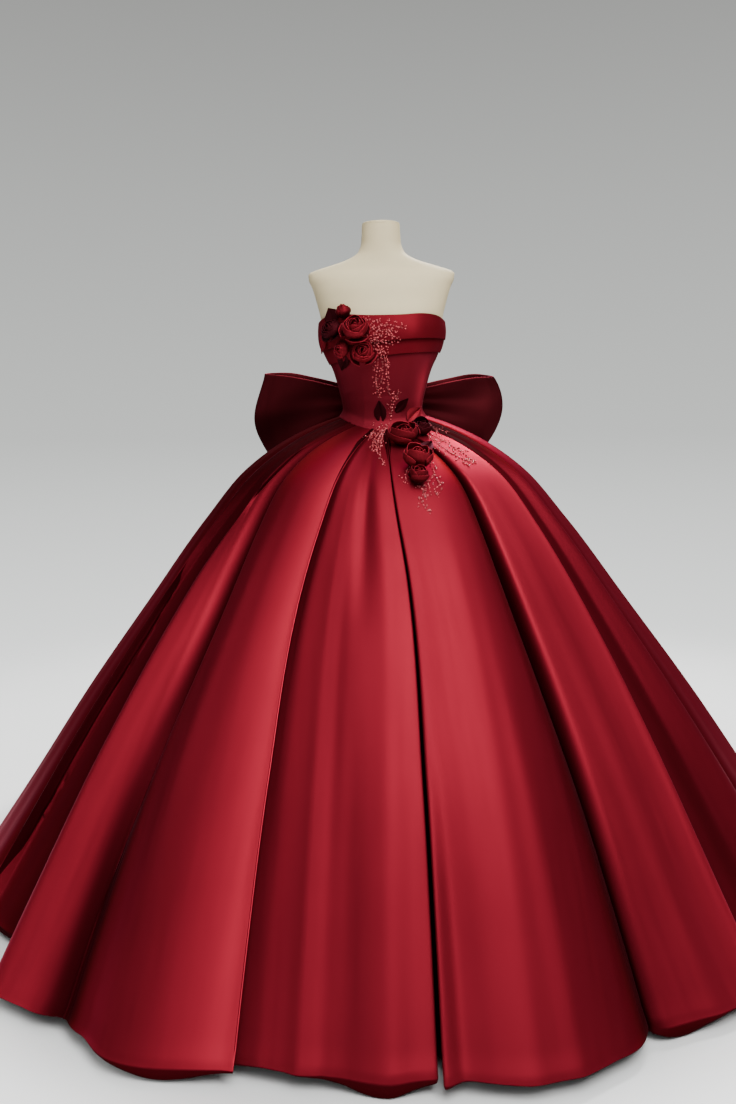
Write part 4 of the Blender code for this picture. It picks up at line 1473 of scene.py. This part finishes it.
# ---- what lies on the cloth
@dataclass
class GownSurface:
    """Finished cloth that the flowers and beads are sewn to."""

    pieces: Sequence[Piece]
    tree: BVHTree = field(init=False)

    def __post_init__(self) -> None:
        """Collect the pieces' faces in one search tree."""
        points, faces = [], []
        for piece in self.pieces:
            start = len(points)
            points += [vertex.co.copy() for vertex in piece.data.vertices]
            faces += [[corner + start for corner in face.vertices]
                      for face in piece.data.polygons]
        self.tree = BVHTree.FromPolygons(points, faces)

    def towards_axis(self, azimuth: float, height: float) -> tuple[Vector, Vector]:
        """Cloth met by a level line from outside towards the pole.

        Args:
            azimuth: Degrees from the front.
            height: Height of the line.

        Returns:
            Point and outward normal.
        """
        angle = math.radians(azimuth)
        inward = Vector((-math.sin(angle), math.cos(angle), 0.0))
        return self.meet(Vector((0.0, 0.0, height)) - inward * 2.0, inward)

    def from_front(self, across: float, height: float) -> tuple[Vector, Vector]:
        """Cloth met by a level line from straight in front, as point and normal."""
        return self.meet(Vector((across, -2.0, height)), Vector((0.0, 1.0, 0.0)))

    def meet(self, origin: Vector, direction: Vector) -> tuple[Vector, Vector]:
        """Cloth met first along a line.

        Args:
            origin: Where the line starts.
            direction: Where it points.

        Returns:
            Point and outward normal.
        """
        point, normal, _, _ = self.tree.ray_cast(origin, direction)
        if point is None:
            raise ValueError(f"no cloth in front of {tuple(origin)}")
        return point, normal if normal.dot(direction) < 0.0 else -normal


def standing_on(point: Vector, normal: Vector, turn: float, tilt: float = 0.0) -> Matrix:
    """Placing of a flower or leaf on the cloth.

    Args:
        point: Where it is sewn on.
        normal: The cloth's outward normal there.
        turn: Turn of its upper side from upright, in degrees, to the left.
        tilt: How far its axis leans up from the normal, in degrees.

    Returns:
        Matrix whose Z axis points out of the cloth and whose Y axis is its upper side.
    """
    up = (Vector((0.0, 0.0, 1.0)) - normal * normal.z).normalized()
    axis = Matrix.Rotation(math.radians(tilt), 3, normal.cross(up)) @ normal
    up = Matrix.Rotation(math.radians(turn), 3, axis) @ (up - axis * up.dot(axis)).normalized()
    across = up.cross(axis).normalized()
    basis = Matrix((across, up, axis)).transposed().to_4x4()
    basis.translation = point
    return basis


def moved(grid: Array, placing: Matrix) -> Array:
    """Grid of points put in its place on the gown."""
    matrix = np.array(placing)
    return grid @ matrix[:3, :3].T + matrix[:3, 3]


PETAL_ROWS, PETAL_COLUMNS, PETAL_THICKNESS = 12, 15, 0.0011
LEAF_ROWS, LEAF_COLUMNS, LEAF_THICKNESS = 18, 13, 0.0009


@dataclass(frozen=True)
class PetalRing:
    """A ring of like petals."""

    count: int
    radius: float  # Widest distance from the flower's axis, as a share of its radius
    height: float  # Height of the petals' tips, as a share of the flower's rise
    closing: float  # 0 for an open cup, 1 for tips that close over the middle
    span: float  # Half width of a petal, in degrees round the axis
    curl: float = 0.0  # How far the rims curl out, as a share of the radius


class Opening(Enum):
    """How far a flower has opened: its rings of petals, from the middle outwards."""

    BUD = (PetalRing(3, 0.62, 1.0, 0.82, 82.0), PetalRing(3, 0.84, 0.95, 0.66, 78.0, 0.02),
           PetalRing(2, 1.0, 0.86, 0.44, 88.0, 0.04))
    HALF = (PetalRing(2, 0.4, 1.0, 0.66, 88.0), PetalRing(3, 0.64, 0.98, 0.5, 80.0, 0.03),
            PetalRing(3, 0.85, 0.92, 0.36, 76.0, 0.06), PetalRing(3, 1.0, 0.8, 0.24, 72.0, 0.09),
            PetalRing(3, 1.16, 0.3, 0.0, 52.0, 0.16))
    CUP = (PetalRing(3, 0.36, 0.86, 0.7, 80.0), PetalRing(3, 0.66, 0.92, 0.42, 76.0, 0.04),
           PetalRing(3, 0.92, 1.0, 0.22, 74.0, 0.07), PetalRing(2, 1.08, 0.78, 0.1, 66.0, 0.12))


@dataclass(frozen=True)
class Bloom:
    """A fabric flower."""

    node: str  # CAD node that it stands for
    azimuth: float  # Its place round the gown
    height: float
    radius: float
    rise: float  # How far it stands out
    opening: Opening  # How far it has opened
    turn: float = 0.0  # Turn round its own axis
    tilt: float = 0.0  # How far it leans up
    finish: Finish = PETAL_SATIN
    tone: float = 0.0  # Painted shade that makes it darker than its neighbours; below 0, painted light

    def petal(self, ring: PetalRing, angle: float, wobble: float) -> Array:
        """Outer face of one petal, its tip at the top.

        Args:
            ring: The ring that it belongs to.
            angle: Place of its middle round the axis, in degrees.
            wobble: Small number that makes it unlike its neighbours.

        Returns:
            Grid in the flower's own frame, with Z along its axis.
        """
        v = np.linspace(1.0, 0.0, PETAL_ROWS)[:, None]
        u = np.linspace(-1.0, 1.0, PETAL_COLUMNS)[None, :]
        reach = v * (1.0 - 0.3 * np.abs(u) ** 2.5 * v)
        span = ring.span * (0.7 + 0.3 * np.sin(math.pi * np.clip(reach, 0.0, 1.0) * 0.75))
        angles = np.radians(angle + span * u * (1.0 + 0.05 * wobble))
        widest = 0.5 + 0.16 * (1.0 - ring.closing)
        swell = np.sin(math.pi * np.clip(0.16 + 0.5 * reach, 0.0, widest))
        close = 1.0 - ring.closing * 0.88 * ease_between(0.45, 1.05, reach) ** 1.2
        spiral = 1.0 + 0.05 * u + 0.025 * wobble
        radius = self.radius * ring.radius * swell * close * spiral
        radius = radius + self.radius * ring.curl * ease_between(0.72, 1.0, reach) ** 2
        lift = self.rise * ring.height * (reach ** 0.9) * (1.0 + 0.06 * wobble)
        lift = lift - self.radius * ring.curl * 0.5 * ease_between(0.8, 1.0, reach)
        ruffle = 0.02 * self.radius * np.sin(3.0 * u + 2.0 * wobble) * reach
        return np.stack([(radius + ruffle) * np.cos(angles), (radius + ruffle) * np.sin(angles),
                         lift + 0.0004], axis=2)

    def sheets(self, placing: Matrix) -> list[ClothSheet]:
        """Make every petal.

        Args:
            placing: Place of the flower on the gown.

        Returns:
            The petals, placed.
        """
        noise = random.Random(self.node)
        made = []
        for r, ring in enumerate(self.opening.value):
            for k in range(ring.count):
                angle = self.turn + 360.0 * (k + 0.37 * r) / ring.count + noise.uniform(-9.0, 9.0)
                grid = self.petal(ring, angle, noise.uniform(-1.0, 1.0))
                # Painted shade from each petal's tip down to its base, plus the bloom's own painted
                # shade, with painted highlights on the rims
                depths = 0.95 * np.linspace(0.0, 1.0, PETAL_ROWS)[:, None] ** 1.15 + self.tone
                made.append(ClothSheet(moved(grid, placing), PETAL_THICKNESS, 3,
                                       np.repeat(depths, PETAL_COLUMNS, 1), rim_light=0.7))
        return made


@dataclass(frozen=True)
class Leaf:
    """A stiffened pointed petal or leaf, creased along its middle."""

    node: str  # CAD node that it stands for
    azimuth: float  # Its place round the gown
    height: float
    length: float
    width: float
    turn: float  # Turn of its tip from upright, to the left, in degrees
    lift: float = 0.006  # How far its tip stands off the cloth
    crease: float = 0.002  # How deep its middle crease is
    square: float = 0.3  # Shape of its outline: 0 a slim leaf, 1 a broad folded point
    finish: Finish = LEAF_SATIN

    def sheet(self, placing: Matrix) -> ClothSheet:
        """Make the leaf.

        Args:
            placing: Its place on the gown.

        Returns:
            The leaf, placed.
        """
        v = np.linspace(1.0, 0.0, LEAF_ROWS)[:, None]
        u = np.linspace(-1.0, 1.0, LEAF_COLUMNS)[None, :]
        slim = np.sin(math.pi * (0.04 + 0.92 * v)) ** 0.85 * (1.15 - 0.45 * v)
        broad = np.minimum(1.0, (1.02 - v) * 2.4) * np.minimum(1.0, 0.35 + v * 2.0)
        outline = (slim * (1.0 - self.square) + broad * self.square) * self.width / 2.0
        x = outline * u
        y = (v - 0.5) * self.length
        z = 0.0022 + self.lift * v ** 1.5 - self.crease * hump(u, 0.0, 0.22) \
            + 0.35 * self.crease * np.sin(5.0 * v) * u
        grid = np.stack([x, np.broadcast_to(y, x.shape), z], axis=2)
        return ClothSheet(moved(grid, placing), LEAF_THICKNESS, 2)


@dataclass
class Flowers:
    """The bust cluster and the waist cluster."""

    surface: GownSurface  # Cloth that they are sewn to
    blooms: tuple[Bloom, ...] = (
        Bloom("bust_bud_top", -38.5, 1.396, 0.02, 0.034, Opening.BUD, 20.0, 42.0,
              tone=0.3),
        Bloom("bust_bloom_centre", -26.0, 1.356, 0.033, 0.046, Opening.HALF, 50.0, 30.0),
        Bloom("bust_bloom_left", -47.0, 1.358, 0.027, 0.036, Opening.HALF, 10.0, 34.0,
              LEAF_SATIN, -0.3),
        Bloom("bust_bloom_low_right", -21.0, 1.306, 0.029, 0.034, Opening.HALF, 75.0, 40.0),
        Bloom("bust_bloom_low_left", -40.0, 1.316, 0.023, 0.03, Opening.BUD, 35.0, 30.0,
              tone=0.15),
        Bloom("waist_bloom_upper", 13.5, 1.092, 0.039, 0.046, Opening.CUP, 15.0, -8.0,
              tone=0.08),
        Bloom("waist_bloom_side", 34.0, 1.112, 0.025, 0.036, Opening.CUP, 60.0, -6.0,
              LEAF_SATIN, -0.5),
        Bloom("waist_bloom_middle", 13.8, 1.038, 0.033, 0.05, Opening.CUP, 80.0, 8.0,
              tone=-0.08),
        Bloom("waist_bud_low", 12.2, 1.006, 0.023, 0.036, Opening.CUP, 40.0, 16.0,
              tone=0.25),
    )
    leaves: tuple[Leaf, ...] = (
        Leaf("bust_leaf_top", -53.0, 1.402, 0.044, 0.044, 28.0, 0.006, 0.001, 1.0),
        Leaf("bust_leaf_side", -66.0, 1.34, 0.052, 0.034, 160.0, 0.008, 0.003, 0.5,
             PETAL_SATIN),
        Leaf("bust_leaf_low", -47.0, 1.292, 0.044, 0.034, 150.0, 0.007, 0.003, 0.4),
        Leaf("waist_leaf_upright", -4.0, 1.167, 0.054, 0.032, 4.0, 0.007, 0.003, 0.4),
        Leaf("waist_leaf_slant", 29.0, 1.184, 0.044, 0.024, -38.0, 0.01, 0.002, 0.3),
        Leaf("waist_petal_arc", 50.0, 1.158, 0.05, 0.038, -50.0, 0.012, 0.004, 0.7,
             PETAL_SATIN),
        Leaf("waist_leaf_pointed", 24.0, 1.078, 0.052, 0.036, -62.0, 0.01, 0.004, 0.3),
    )

    def build(self) -> list[Piece]:
        """Sew on every flower and leaf.

        Returns:
            Their pieces.
        """
        made = []
        for bloom in self.blooms:
            point, normal = self.surface.towards_axis(bloom.azimuth, bloom.height)
            sheets = bloom.sheets(standing_on(point, normal, bloom.turn, bloom.tilt))
            piece = joined_sheets(f"{bloom.node}_petals", sheets)
            made.append(finish_piece(piece, bloom.finish, bloom.node))
        for leaf in self.leaves:
            point, normal = self.surface.towards_axis(leaf.azimuth, leaf.height)
            sheet = leaf.sheet(standing_on(point, normal, leaf.turn))
            piece = joined_sheets(f"{leaf.node}_cloth", [sheet])
            made.append(finish_piece(piece, leaf.finish, leaf.node))
        return made


# ---- beads
Sprig = tuple[tuple[int, int], ...]


@dataclass
class BeadWork:
    """Sprays of beads and sequins along embroidered sprigs."""

    surface: GownSurface  # Cloth that they are sewn to
    # Sprigs of the bust spray in millimetres: points across and up, from the front
    bust: tuple[Sprig, ...] = (
        ((-36, 1350), (-24, 1364), (-4, 1373), (20, 1375), (40, 1370), (57, 1366)),
        ((-34, 1348), (-18, 1352), (0, 1354), (25, 1349), (44, 1340)),
        ((-36, 1352), (-30, 1372), (-19, 1384), (-4, 1391)),
        ((-36, 1352), (-38, 1376), (-32, 1396)),
        ((-34, 1346), (-16, 1340), (6, 1334), (26, 1328)),
        ((-30, 1342), (-12, 1330), (-4, 1312), (0, 1292), (2, 1272), (-4, 1240), (-12, 1226),
         (-4, 1202)),
        ((-8, 1322), (8, 1310), (13, 1292), (10, 1262), (14, 1236), (14, 1216)),
        ((-12, 1318), (-10, 1296), (-12, 1272), (-16, 1250), (-15, 1228)),
        ((-20, 1356), (-2, 1362), (16, 1364), (34, 1358)),
        ((-26, 1334), (-16, 1318), (-18, 1300)),
        ((-97, 1380), (-83, 1376), (-70, 1371)),
    )
    # Sprigs of the waist sprays
    waist: tuple[Sprig, ...] = (
        ((20, 1148), (23, 1170), (28, 1188), (36, 1203), (39, 1220)),
        ((24, 1176), (22, 1192), (29, 1211)),
        ((16, 1136), (4, 1128), (-14, 1108), (-24, 1092), (-26, 1076)),
        ((12, 1130), (2, 1118), (-3, 1094), (-7, 1072), (-4, 1056), (4, 1041)),
        ((8, 1134), (-12, 1128), (-28, 1114), (-34, 1098)),
        ((0, 1122), (-12, 1094), (-18, 1072)),
        ((84, 1052), (102, 1046), (114, 1030), (121, 1011), (127, 998), (114, 988), (120, 976)),
        ((74, 1030), (79, 1014), (81, 994), (95, 983), (85, 974), (88, 957), (102, 938)),
        ((86, 1034), (96, 1014), (102, 996), (106, 976)),
        ((96, 1120), (122, 1108), (145, 1094), (169, 1079), (195, 1062), (214, 1046)),
        ((100, 1140), (122, 1129), (156, 1115)),
        ((104, 1112), (138, 1082), (164, 1064), (188, 1052), (221, 1041)),
        ((60, 1036), (50, 1022), (54, 1002)),
    )
    spacing: float = 0.0088  # Distance between beads along the thread
    bead: float = 0.0015  # Radius of a bead
    petal: float = 0.004  # Length of a sequin
    thread: float = 0.00005  # Radius of the thread
    standing: float = 0.0008  # How far the thread lies over the cloth
    scatter_reach: float = 0.0075  # How far loose sequins lie from a twig's tip
    stem_step: float = 0.0066  # Distance between the points of a stem
    seed: int = 7  # Seed of everything random

    def build(self) -> list[Piece]:
        """Sew both sprays.

        Returns:
            Their pieces.
        """
        tree = self.spray_tree()
        return [self.spray("bust_beadwork", self.bust, tree),
                self.spray("waist_beadwork", self.waist, tree)]

    def spray(self, name: str, sprigs: Sequence[Sprig], tree: Any) -> Piece:
        """Bead a group of sprigs.

        Args:
            name: Name of the piece.
            sprigs: Its sprigs.
            tree: Geometry tree that strings the beads.

        Returns:
            One plain mesh of beads, sequins and thread.
        """
        noise = random.Random(self.seed)
        points, outs, edges = [], [], []
        for sprig in sprigs:
            stem = self.stem(sprig)
            self.lay(stem, points, outs, edges)
            for k in range(1, len(stem) - 1):
                twig = self.twig(stem, k, noise)
                self.lay(twig[[0, 3]], points, outs, edges)
                for _ in range(3):
                    reach = noise.gauss(0.0, 0.5) * self.scatter_reach
                    angle = noise.uniform(0.0, math.pi)
                    loose = twig[-1] + reach * np.array((math.cos(angle), math.sin(angle)))
                    self.lay(loose[None, :], points, outs, edges)
        mesh = bpy.data.meshes.new(name)
        mesh.from_pydata(points, edges, [])
        mesh.attributes.new("cloth_out", "FLOAT_VECTOR", "POINT").data.foreach_set(
            "vector", np.array(outs, np.float32).ravel())
        values = {"Spacing": self.spacing, "Bead": self.bead, "Petal": self.petal,
                  "Thread": self.thread, "Seed": self.seed,
                  "Bead Finish": CORAL_BEADS.material(), "Thread Finish": CORAL_THREAD.material()}
        return finish_piece(strung(name, placed(f"{name}_guide", mesh), tree, values), CORAL_BEADS)

    def stem(self, sprig: Sprig) -> Array:
        """Smooth a sprig's stem.

        Args:
            sprig: The sprig.

        Returns:
            Even points along it, across and up.
        """
        table = np.array(sprig) / MM_PER_M
        keys = running_length(table)
        count = max(5, int(keys[-1] / self.stem_step))
        return read_smooth(keys, table, np.linspace(0.0, keys[-1], count))

    @staticmethod
    def twig(stem: Array, k: int, noise: random.Random) -> Array:
        """Short curved side twig of a stem.

        Args:
            stem: The stem's points.
            k: Number of the point where the twig leaves it.
            noise: Source of its random turn and length.

        Returns:
            Four points along the twig.
        """
        along = stem[k + 1] - stem[k - 1]
        swing = noise.choice((-1.0, 1.0)) * noise.uniform(0.5, 1.1)
        heading = math.atan2(along[1], along[0]) + swing
        length, bend = noise.uniform(0.005, 0.012), noise.uniform(-0.5, 0.5)
        steps = np.linspace(0.0, 1.0, 4)
        turn = heading + bend * steps
        return stem[k] + length * steps[:, None] * np.stack([np.cos(turn), np.sin(turn)], axis=1)

    def lay(self, line: Array, points: list, outs: list, edges: list) -> None:
        """Lay a line of points on the cloth and join them.

        Args:
            line: Points across and up.
            points: Vertices so far, which it adds to.
            outs: The cloth's normals at the vertices, which it adds to.
            edges: Edges so far, which it adds to.
        """
        start = len(points)
        for across, height in line:
            point, normal = self.surface.from_front(float(across), float(height))
            points.append(point + normal * self.standing)
            outs.append(normal)
        edges += [(i, i + 1) for i in range(start, len(points) - 1)]

    def spray_tree(self) -> Any:
        """Build the geometry tree of beads along a mesh's edges and sequins on its points.

        Returns:
            The tree, with a named input for each size, finish and the seed.
        """
        tree = bpy.data.node_groups.new("bead_spray", "GeometryNodeTree")
        graph = Graph(tree)
        for label, kind in (("Geometry", "Geometry"), ("Spacing", "Float"), ("Bead", "Float"),
                            ("Petal", "Float"), ("Thread", "Float"), ("Seed", "Int"),
                            ("Bead Finish", "Material"), ("Thread Finish", "Material")):
            tree.interface.new_socket(label, in_out="INPUT", socket_type=f"NodeSocket{kind}")
        tree.interface.new_socket("Geometry", in_out="OUTPUT", socket_type="NodeSocketGeometry")
        given = graph.add("NodeGroupInput").outputs
        curve = graph.add("GeometryNodeMeshToCurve", {"Mesh": given["Geometry"]})
        dots = graph.add("GeometryNodeResampleCurve", {"Curve": curve, "Length": given["Spacing"]},
                         mode="LENGTH")
        bead = graph.add("GeometryNodeMeshIcoSphere", {"Radius": given["Bead"], "Subdivisions": 1})
        beads = self.scatter(graph, dots, bead, given["Seed"], 0.55, 1.35)
        petals = self.scatter(graph, given["Geometry"], self.sequin_shape(graph, given["Petal"]),
                              given["Seed"], 0.5, 1.2)
        ring = graph.add("GeometryNodeCurvePrimitiveCircle", {"Resolution": 4,
                                                              "Radius": given["Thread"]})
        thread = graph.add("GeometryNodeCurveToMesh", {"Curve": curve, "Profile Curve": ring})
        thread = graph.add("GeometryNodeSetMaterial", {"Geometry": thread,
                                                       "Material": given["Thread Finish"]})
        real = graph.add("GeometryNodeRealizeInstances", {"Geometry": graph.join(beads, petals)})
        dressed = graph.add("GeometryNodeSetMaterial", {"Geometry": real,
                                                        "Material": given["Bead Finish"]})
        graph.add("NodeGroupOutput", {"Geometry": graph.join(thread, dressed)})
        return tree

    @staticmethod
    def sequin_shape(graph: Graph, size: Any) -> Any:
        """Drop-shaped sequin: a flattened cone that lies along the cloth.

        Args:
            graph: The tree's graph.
            size: Socket that holds its length.

        Returns:
            The node that makes it.
        """
        cone = graph.add("GeometryNodeMeshCone", {
            "Vertices": 6, "Radius Top": 0.0002, "Depth": size,
            "Radius Bottom": graph.combine("MULTIPLY", size, 0.45)})
        return graph.add("GeometryNodeTransform", {"Geometry": cone,
                                                   "Rotation": (math.pi / 2.0, 0.0, 0.0),
                                                   "Scale": (1.0, 1.4, 0.6)})

    @staticmethod
    def scatter(graph: Graph, points: Any, shape: Any, seed: Any, low: float, high: float) -> Any:
        """Instances of a shape on points, each turned and sized at random.

        Args:
            graph: The tree's graph.
            points: Curve or mesh whose points carry the shapes.
            shape: Geometry to repeat.
            seed: Seed of the random values.
            low, high: Smallest and largest scale.

        Returns:
            The node that makes the instances.
        """
        size = graph.add("FunctionNodeRandomValue", {"Seed": seed}, data_type="FLOAT")
        outputs = {socket.identifier: socket for socket in size.outputs}
        inputs = {socket.identifier: socket for socket in size.inputs}
        inputs["Min_001"].default_value, inputs["Max_001"].default_value = low, high
        turn = graph.add("FunctionNodeRandomValue", {0: (-0.5, -0.5, 0.0), 1: (0.5, 0.5, math.tau),
                                                     "Seed": seed}, data_type="FLOAT_VECTOR")
        angles = graph.add("FunctionNodeEulerToRotation", {0: turn})
        out = graph.add("GeometryNodeInputNamedAttribute", {"Name": "cloth_out"},
                        data_type="FLOAT_VECTOR")
        upright = graph.add("FunctionNodeAlignRotationToVector", {"Vector": out}, axis="Z")
        turned = graph.add("FunctionNodeRotateRotation", {0: upright, 1: angles},
                           rotation_space="LOCAL")
        return graph.add("GeometryNodeInstanceOnPoints",
                         {"Points": points, "Instance": shape, "Rotation": turned,
                          "Scale": outputs["Value_001"]})


def strung(name: str, guide: Piece, tree: Any,
           values: dict[str, Any]) -> Piece:
    """Run a geometry tree on a guide and keep its result as a plain mesh.

    Args:
        name: Name of the result.
        guide: Object whose mesh the tree works on; it is removed.
        tree: The geometry tree.
        values: Value of each named input.

    Returns:
        The result's object.
    """
    modifier = guide.modifiers.new("string", "NODES")
    modifier.node_group = tree
    for socket in tree.interface.items_tree:
        if socket.item_type == "SOCKET" and socket.in_out == "INPUT" and socket.name in values:
            modifier[socket.identifier] = values[socket.name]
    view = bpy.context.evaluated_depsgraph_get()
    mesh = bpy.data.meshes.new_from_object(guide.evaluated_get(view))
    mesh.name = name
    mesh.shade_smooth()
    bpy.data.objects.remove(guide, do_unlink=True)
    return placed(name, mesh)


# ---- the studio
GOWN_MIDDLE = Vector((0.0, 0.0, 0.75))


@dataclass(frozen=True)
class Softbox:
    """A large soft light, aimed at the gown."""

    azimuth: float  # Where it stands, in degrees from the front
    elevation: float  # How high it hangs, in degrees
    distance: float  # Its distance from the gown's middle
    size: float  # Width of its square
    power: float  # Its power in watts

    def build(self, number: int) -> None:
        """Hang the light.

        Args:
            number: Its number, for its name.
        """
        a, e = math.radians(self.azimuth), math.radians(self.elevation)
        away = Vector((math.sin(a) * math.cos(e), -math.cos(a) * math.cos(e), math.sin(e)))
        data = bpy.data.lights.new(f"softbox_{number}", "AREA")
        data.shape, data.size, data.energy = "SQUARE", self.size, self.power
        lamp = placed(data.name, data)
        lamp.location = GOWN_MIDDLE + away * self.distance
        lamp.rotation_mode = "QUATERNION"
        lamp.rotation_quaternion = away.to_track_quat("Z", "Y")


@dataclass
class Studio:
    """Pale floor, plain surroundings, soft lights and the camera."""

    floor_half: float = 12.0  # Half the floor's width
    floor_drop: float = 0.0006  # How far it lies under the stand
    fill: Colour = (0.06, 0.06, 0.06)  # Colour of the surroundings as the gown sees them
    wall_span: Pair = (-0.4, 0.44)  # Levels where the wall's colours begin and end
    wall_strength: float = 2.0  # Its brightness
    # Colours of the wall, the surroundings as the camera sees them, from low to high
    wall: tuple[tuple[float, Colour], ...] = (
        (0.0, (0.92, 0.95, 0.92)),
        (0.16, (0.82, 0.84, 0.83)),
        (0.47, (0.38, 0.39, 0.38)),
        (1.0, (0.165, 0.165, 0.16)),
    )
    lights: tuple[Softbox, ...] = (
        Softbox(22.0, 48.0, 4.2, 2.8, 190.0),
        Softbox(-70.0, 34.0, 4.8, 1.8, 24.0),
        Softbox(-4.0, 24.0, 4.6, 2.6, 28.0),
        Softbox(84.0, 45.0, 4.8, 2.4, 18.0),
        Softbox(152.0, 50.0, 4.8, 0.9, 170.0),
        Softbox(206.0, 52.0, 4.8, 2.6, 60.0),
        Softbox(18.0, 78.0, 4.0, 3.2, 70.0),
    )
    camera_place: tuple[float, float, float] = (0.0, -2.613, 1.122)  # Where the camera stands
    camera_pitch: float = 6.95  # How far it looks down, in degrees
    camera_pan: float = 0.92  # How far it looks to the left, in degrees
    camera_roll: float = -0.66  # How far it is rolled, in degrees
    focal_share: float = 1000.0 / 1104.0  # Its focal length, as a share of the frame's height
    sensor: float = 36.0  # Its sensor's size in millimetres

    def build(self) -> None:
        """Set up everything that isn't part of the object."""
        self.floor()
        self.world()
        for number, light in enumerate(self.lights, 1):
            light.build(number)
        self.camera()

    def floor(self) -> None:
        """Wide pale floor just under the stand."""
        h, z = self.floor_half, -self.floor_drop
        corners = np.array([(-h, -h, z), (h, -h, z), (h, h, z), (-h, h, z)])
        floor = mesh_object("studio_floor", corners, [(0, 1, 2, 3)])
        floor.data.materials.append(PALE_FLOOR.material())

    def world(self) -> None:
        """Pale surroundings, darker above, which light the gown only weakly."""
        world = bpy.data.worlds.new("surround")
        bpy.context.scene.world = world
        world.use_nodes = True
        graph = Graph(world.node_tree)
        level = graph.add("ShaderNodeSeparateXYZ", {0: graph.coordinates("Generated")})
        place = graph.spread(level.outputs["Z"], 0.0, 1.0, *self.wall_span)
        wall = graph.add("ShaderNodeBackground", {"Color": graph.ramp(place, self.wall),
                                                  "Strength": self.wall_strength})
        fill = graph.add("ShaderNodeBackground", {"Color": (*self.fill, 1.0)})
        seen = graph.add("ShaderNodeLightPath").outputs["Is Camera Ray"]
        both = graph.add("ShaderNodeMixShader", {0: seen, 1: fill, 2: wall})
        graph.add("ShaderNodeOutputWorld", {"Surface": both})

    def camera(self) -> None:
        """Camera at breast height, looking slightly down."""
        data = bpy.data.cameras.new("camera")
        data.sensor_width = self.sensor
        data.lens = self.sensor * self.focal_share
        data.clip_start, data.clip_end = 0.05, 60.0
        camera = placed("camera", data)
        camera.matrix_world = (Matrix.Translation(self.camera_place)
                               @ Matrix.Rotation(math.radians(self.camera_pan), 4, "Z")
                               @ Matrix.Rotation(math.radians(90.0 - self.camera_pitch), 4, "X")
                               @ Matrix.Rotation(math.radians(self.camera_roll), 4, "Z"))
        bpy.context.scene.camera = camera


def main() -> None:
    """Build the gown on its form, and the studio round it."""
    logging.basicConfig(level=logging.INFO, format="%(name)s: %(message)s")
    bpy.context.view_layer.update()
    body, bell = BodyShape(), SkirtShape()
    torso = DressForm(body).build()
    panels = Skirt(bell).build()
    bodice = Bodice(body, bell).build()
    Bow().build()
    surface = GownSurface(panels + bodice + [torso])
    Flowers(surface).build()
    BeadWork(surface).build()
    Studio().build()


if __name__ == "__main__":
    main()
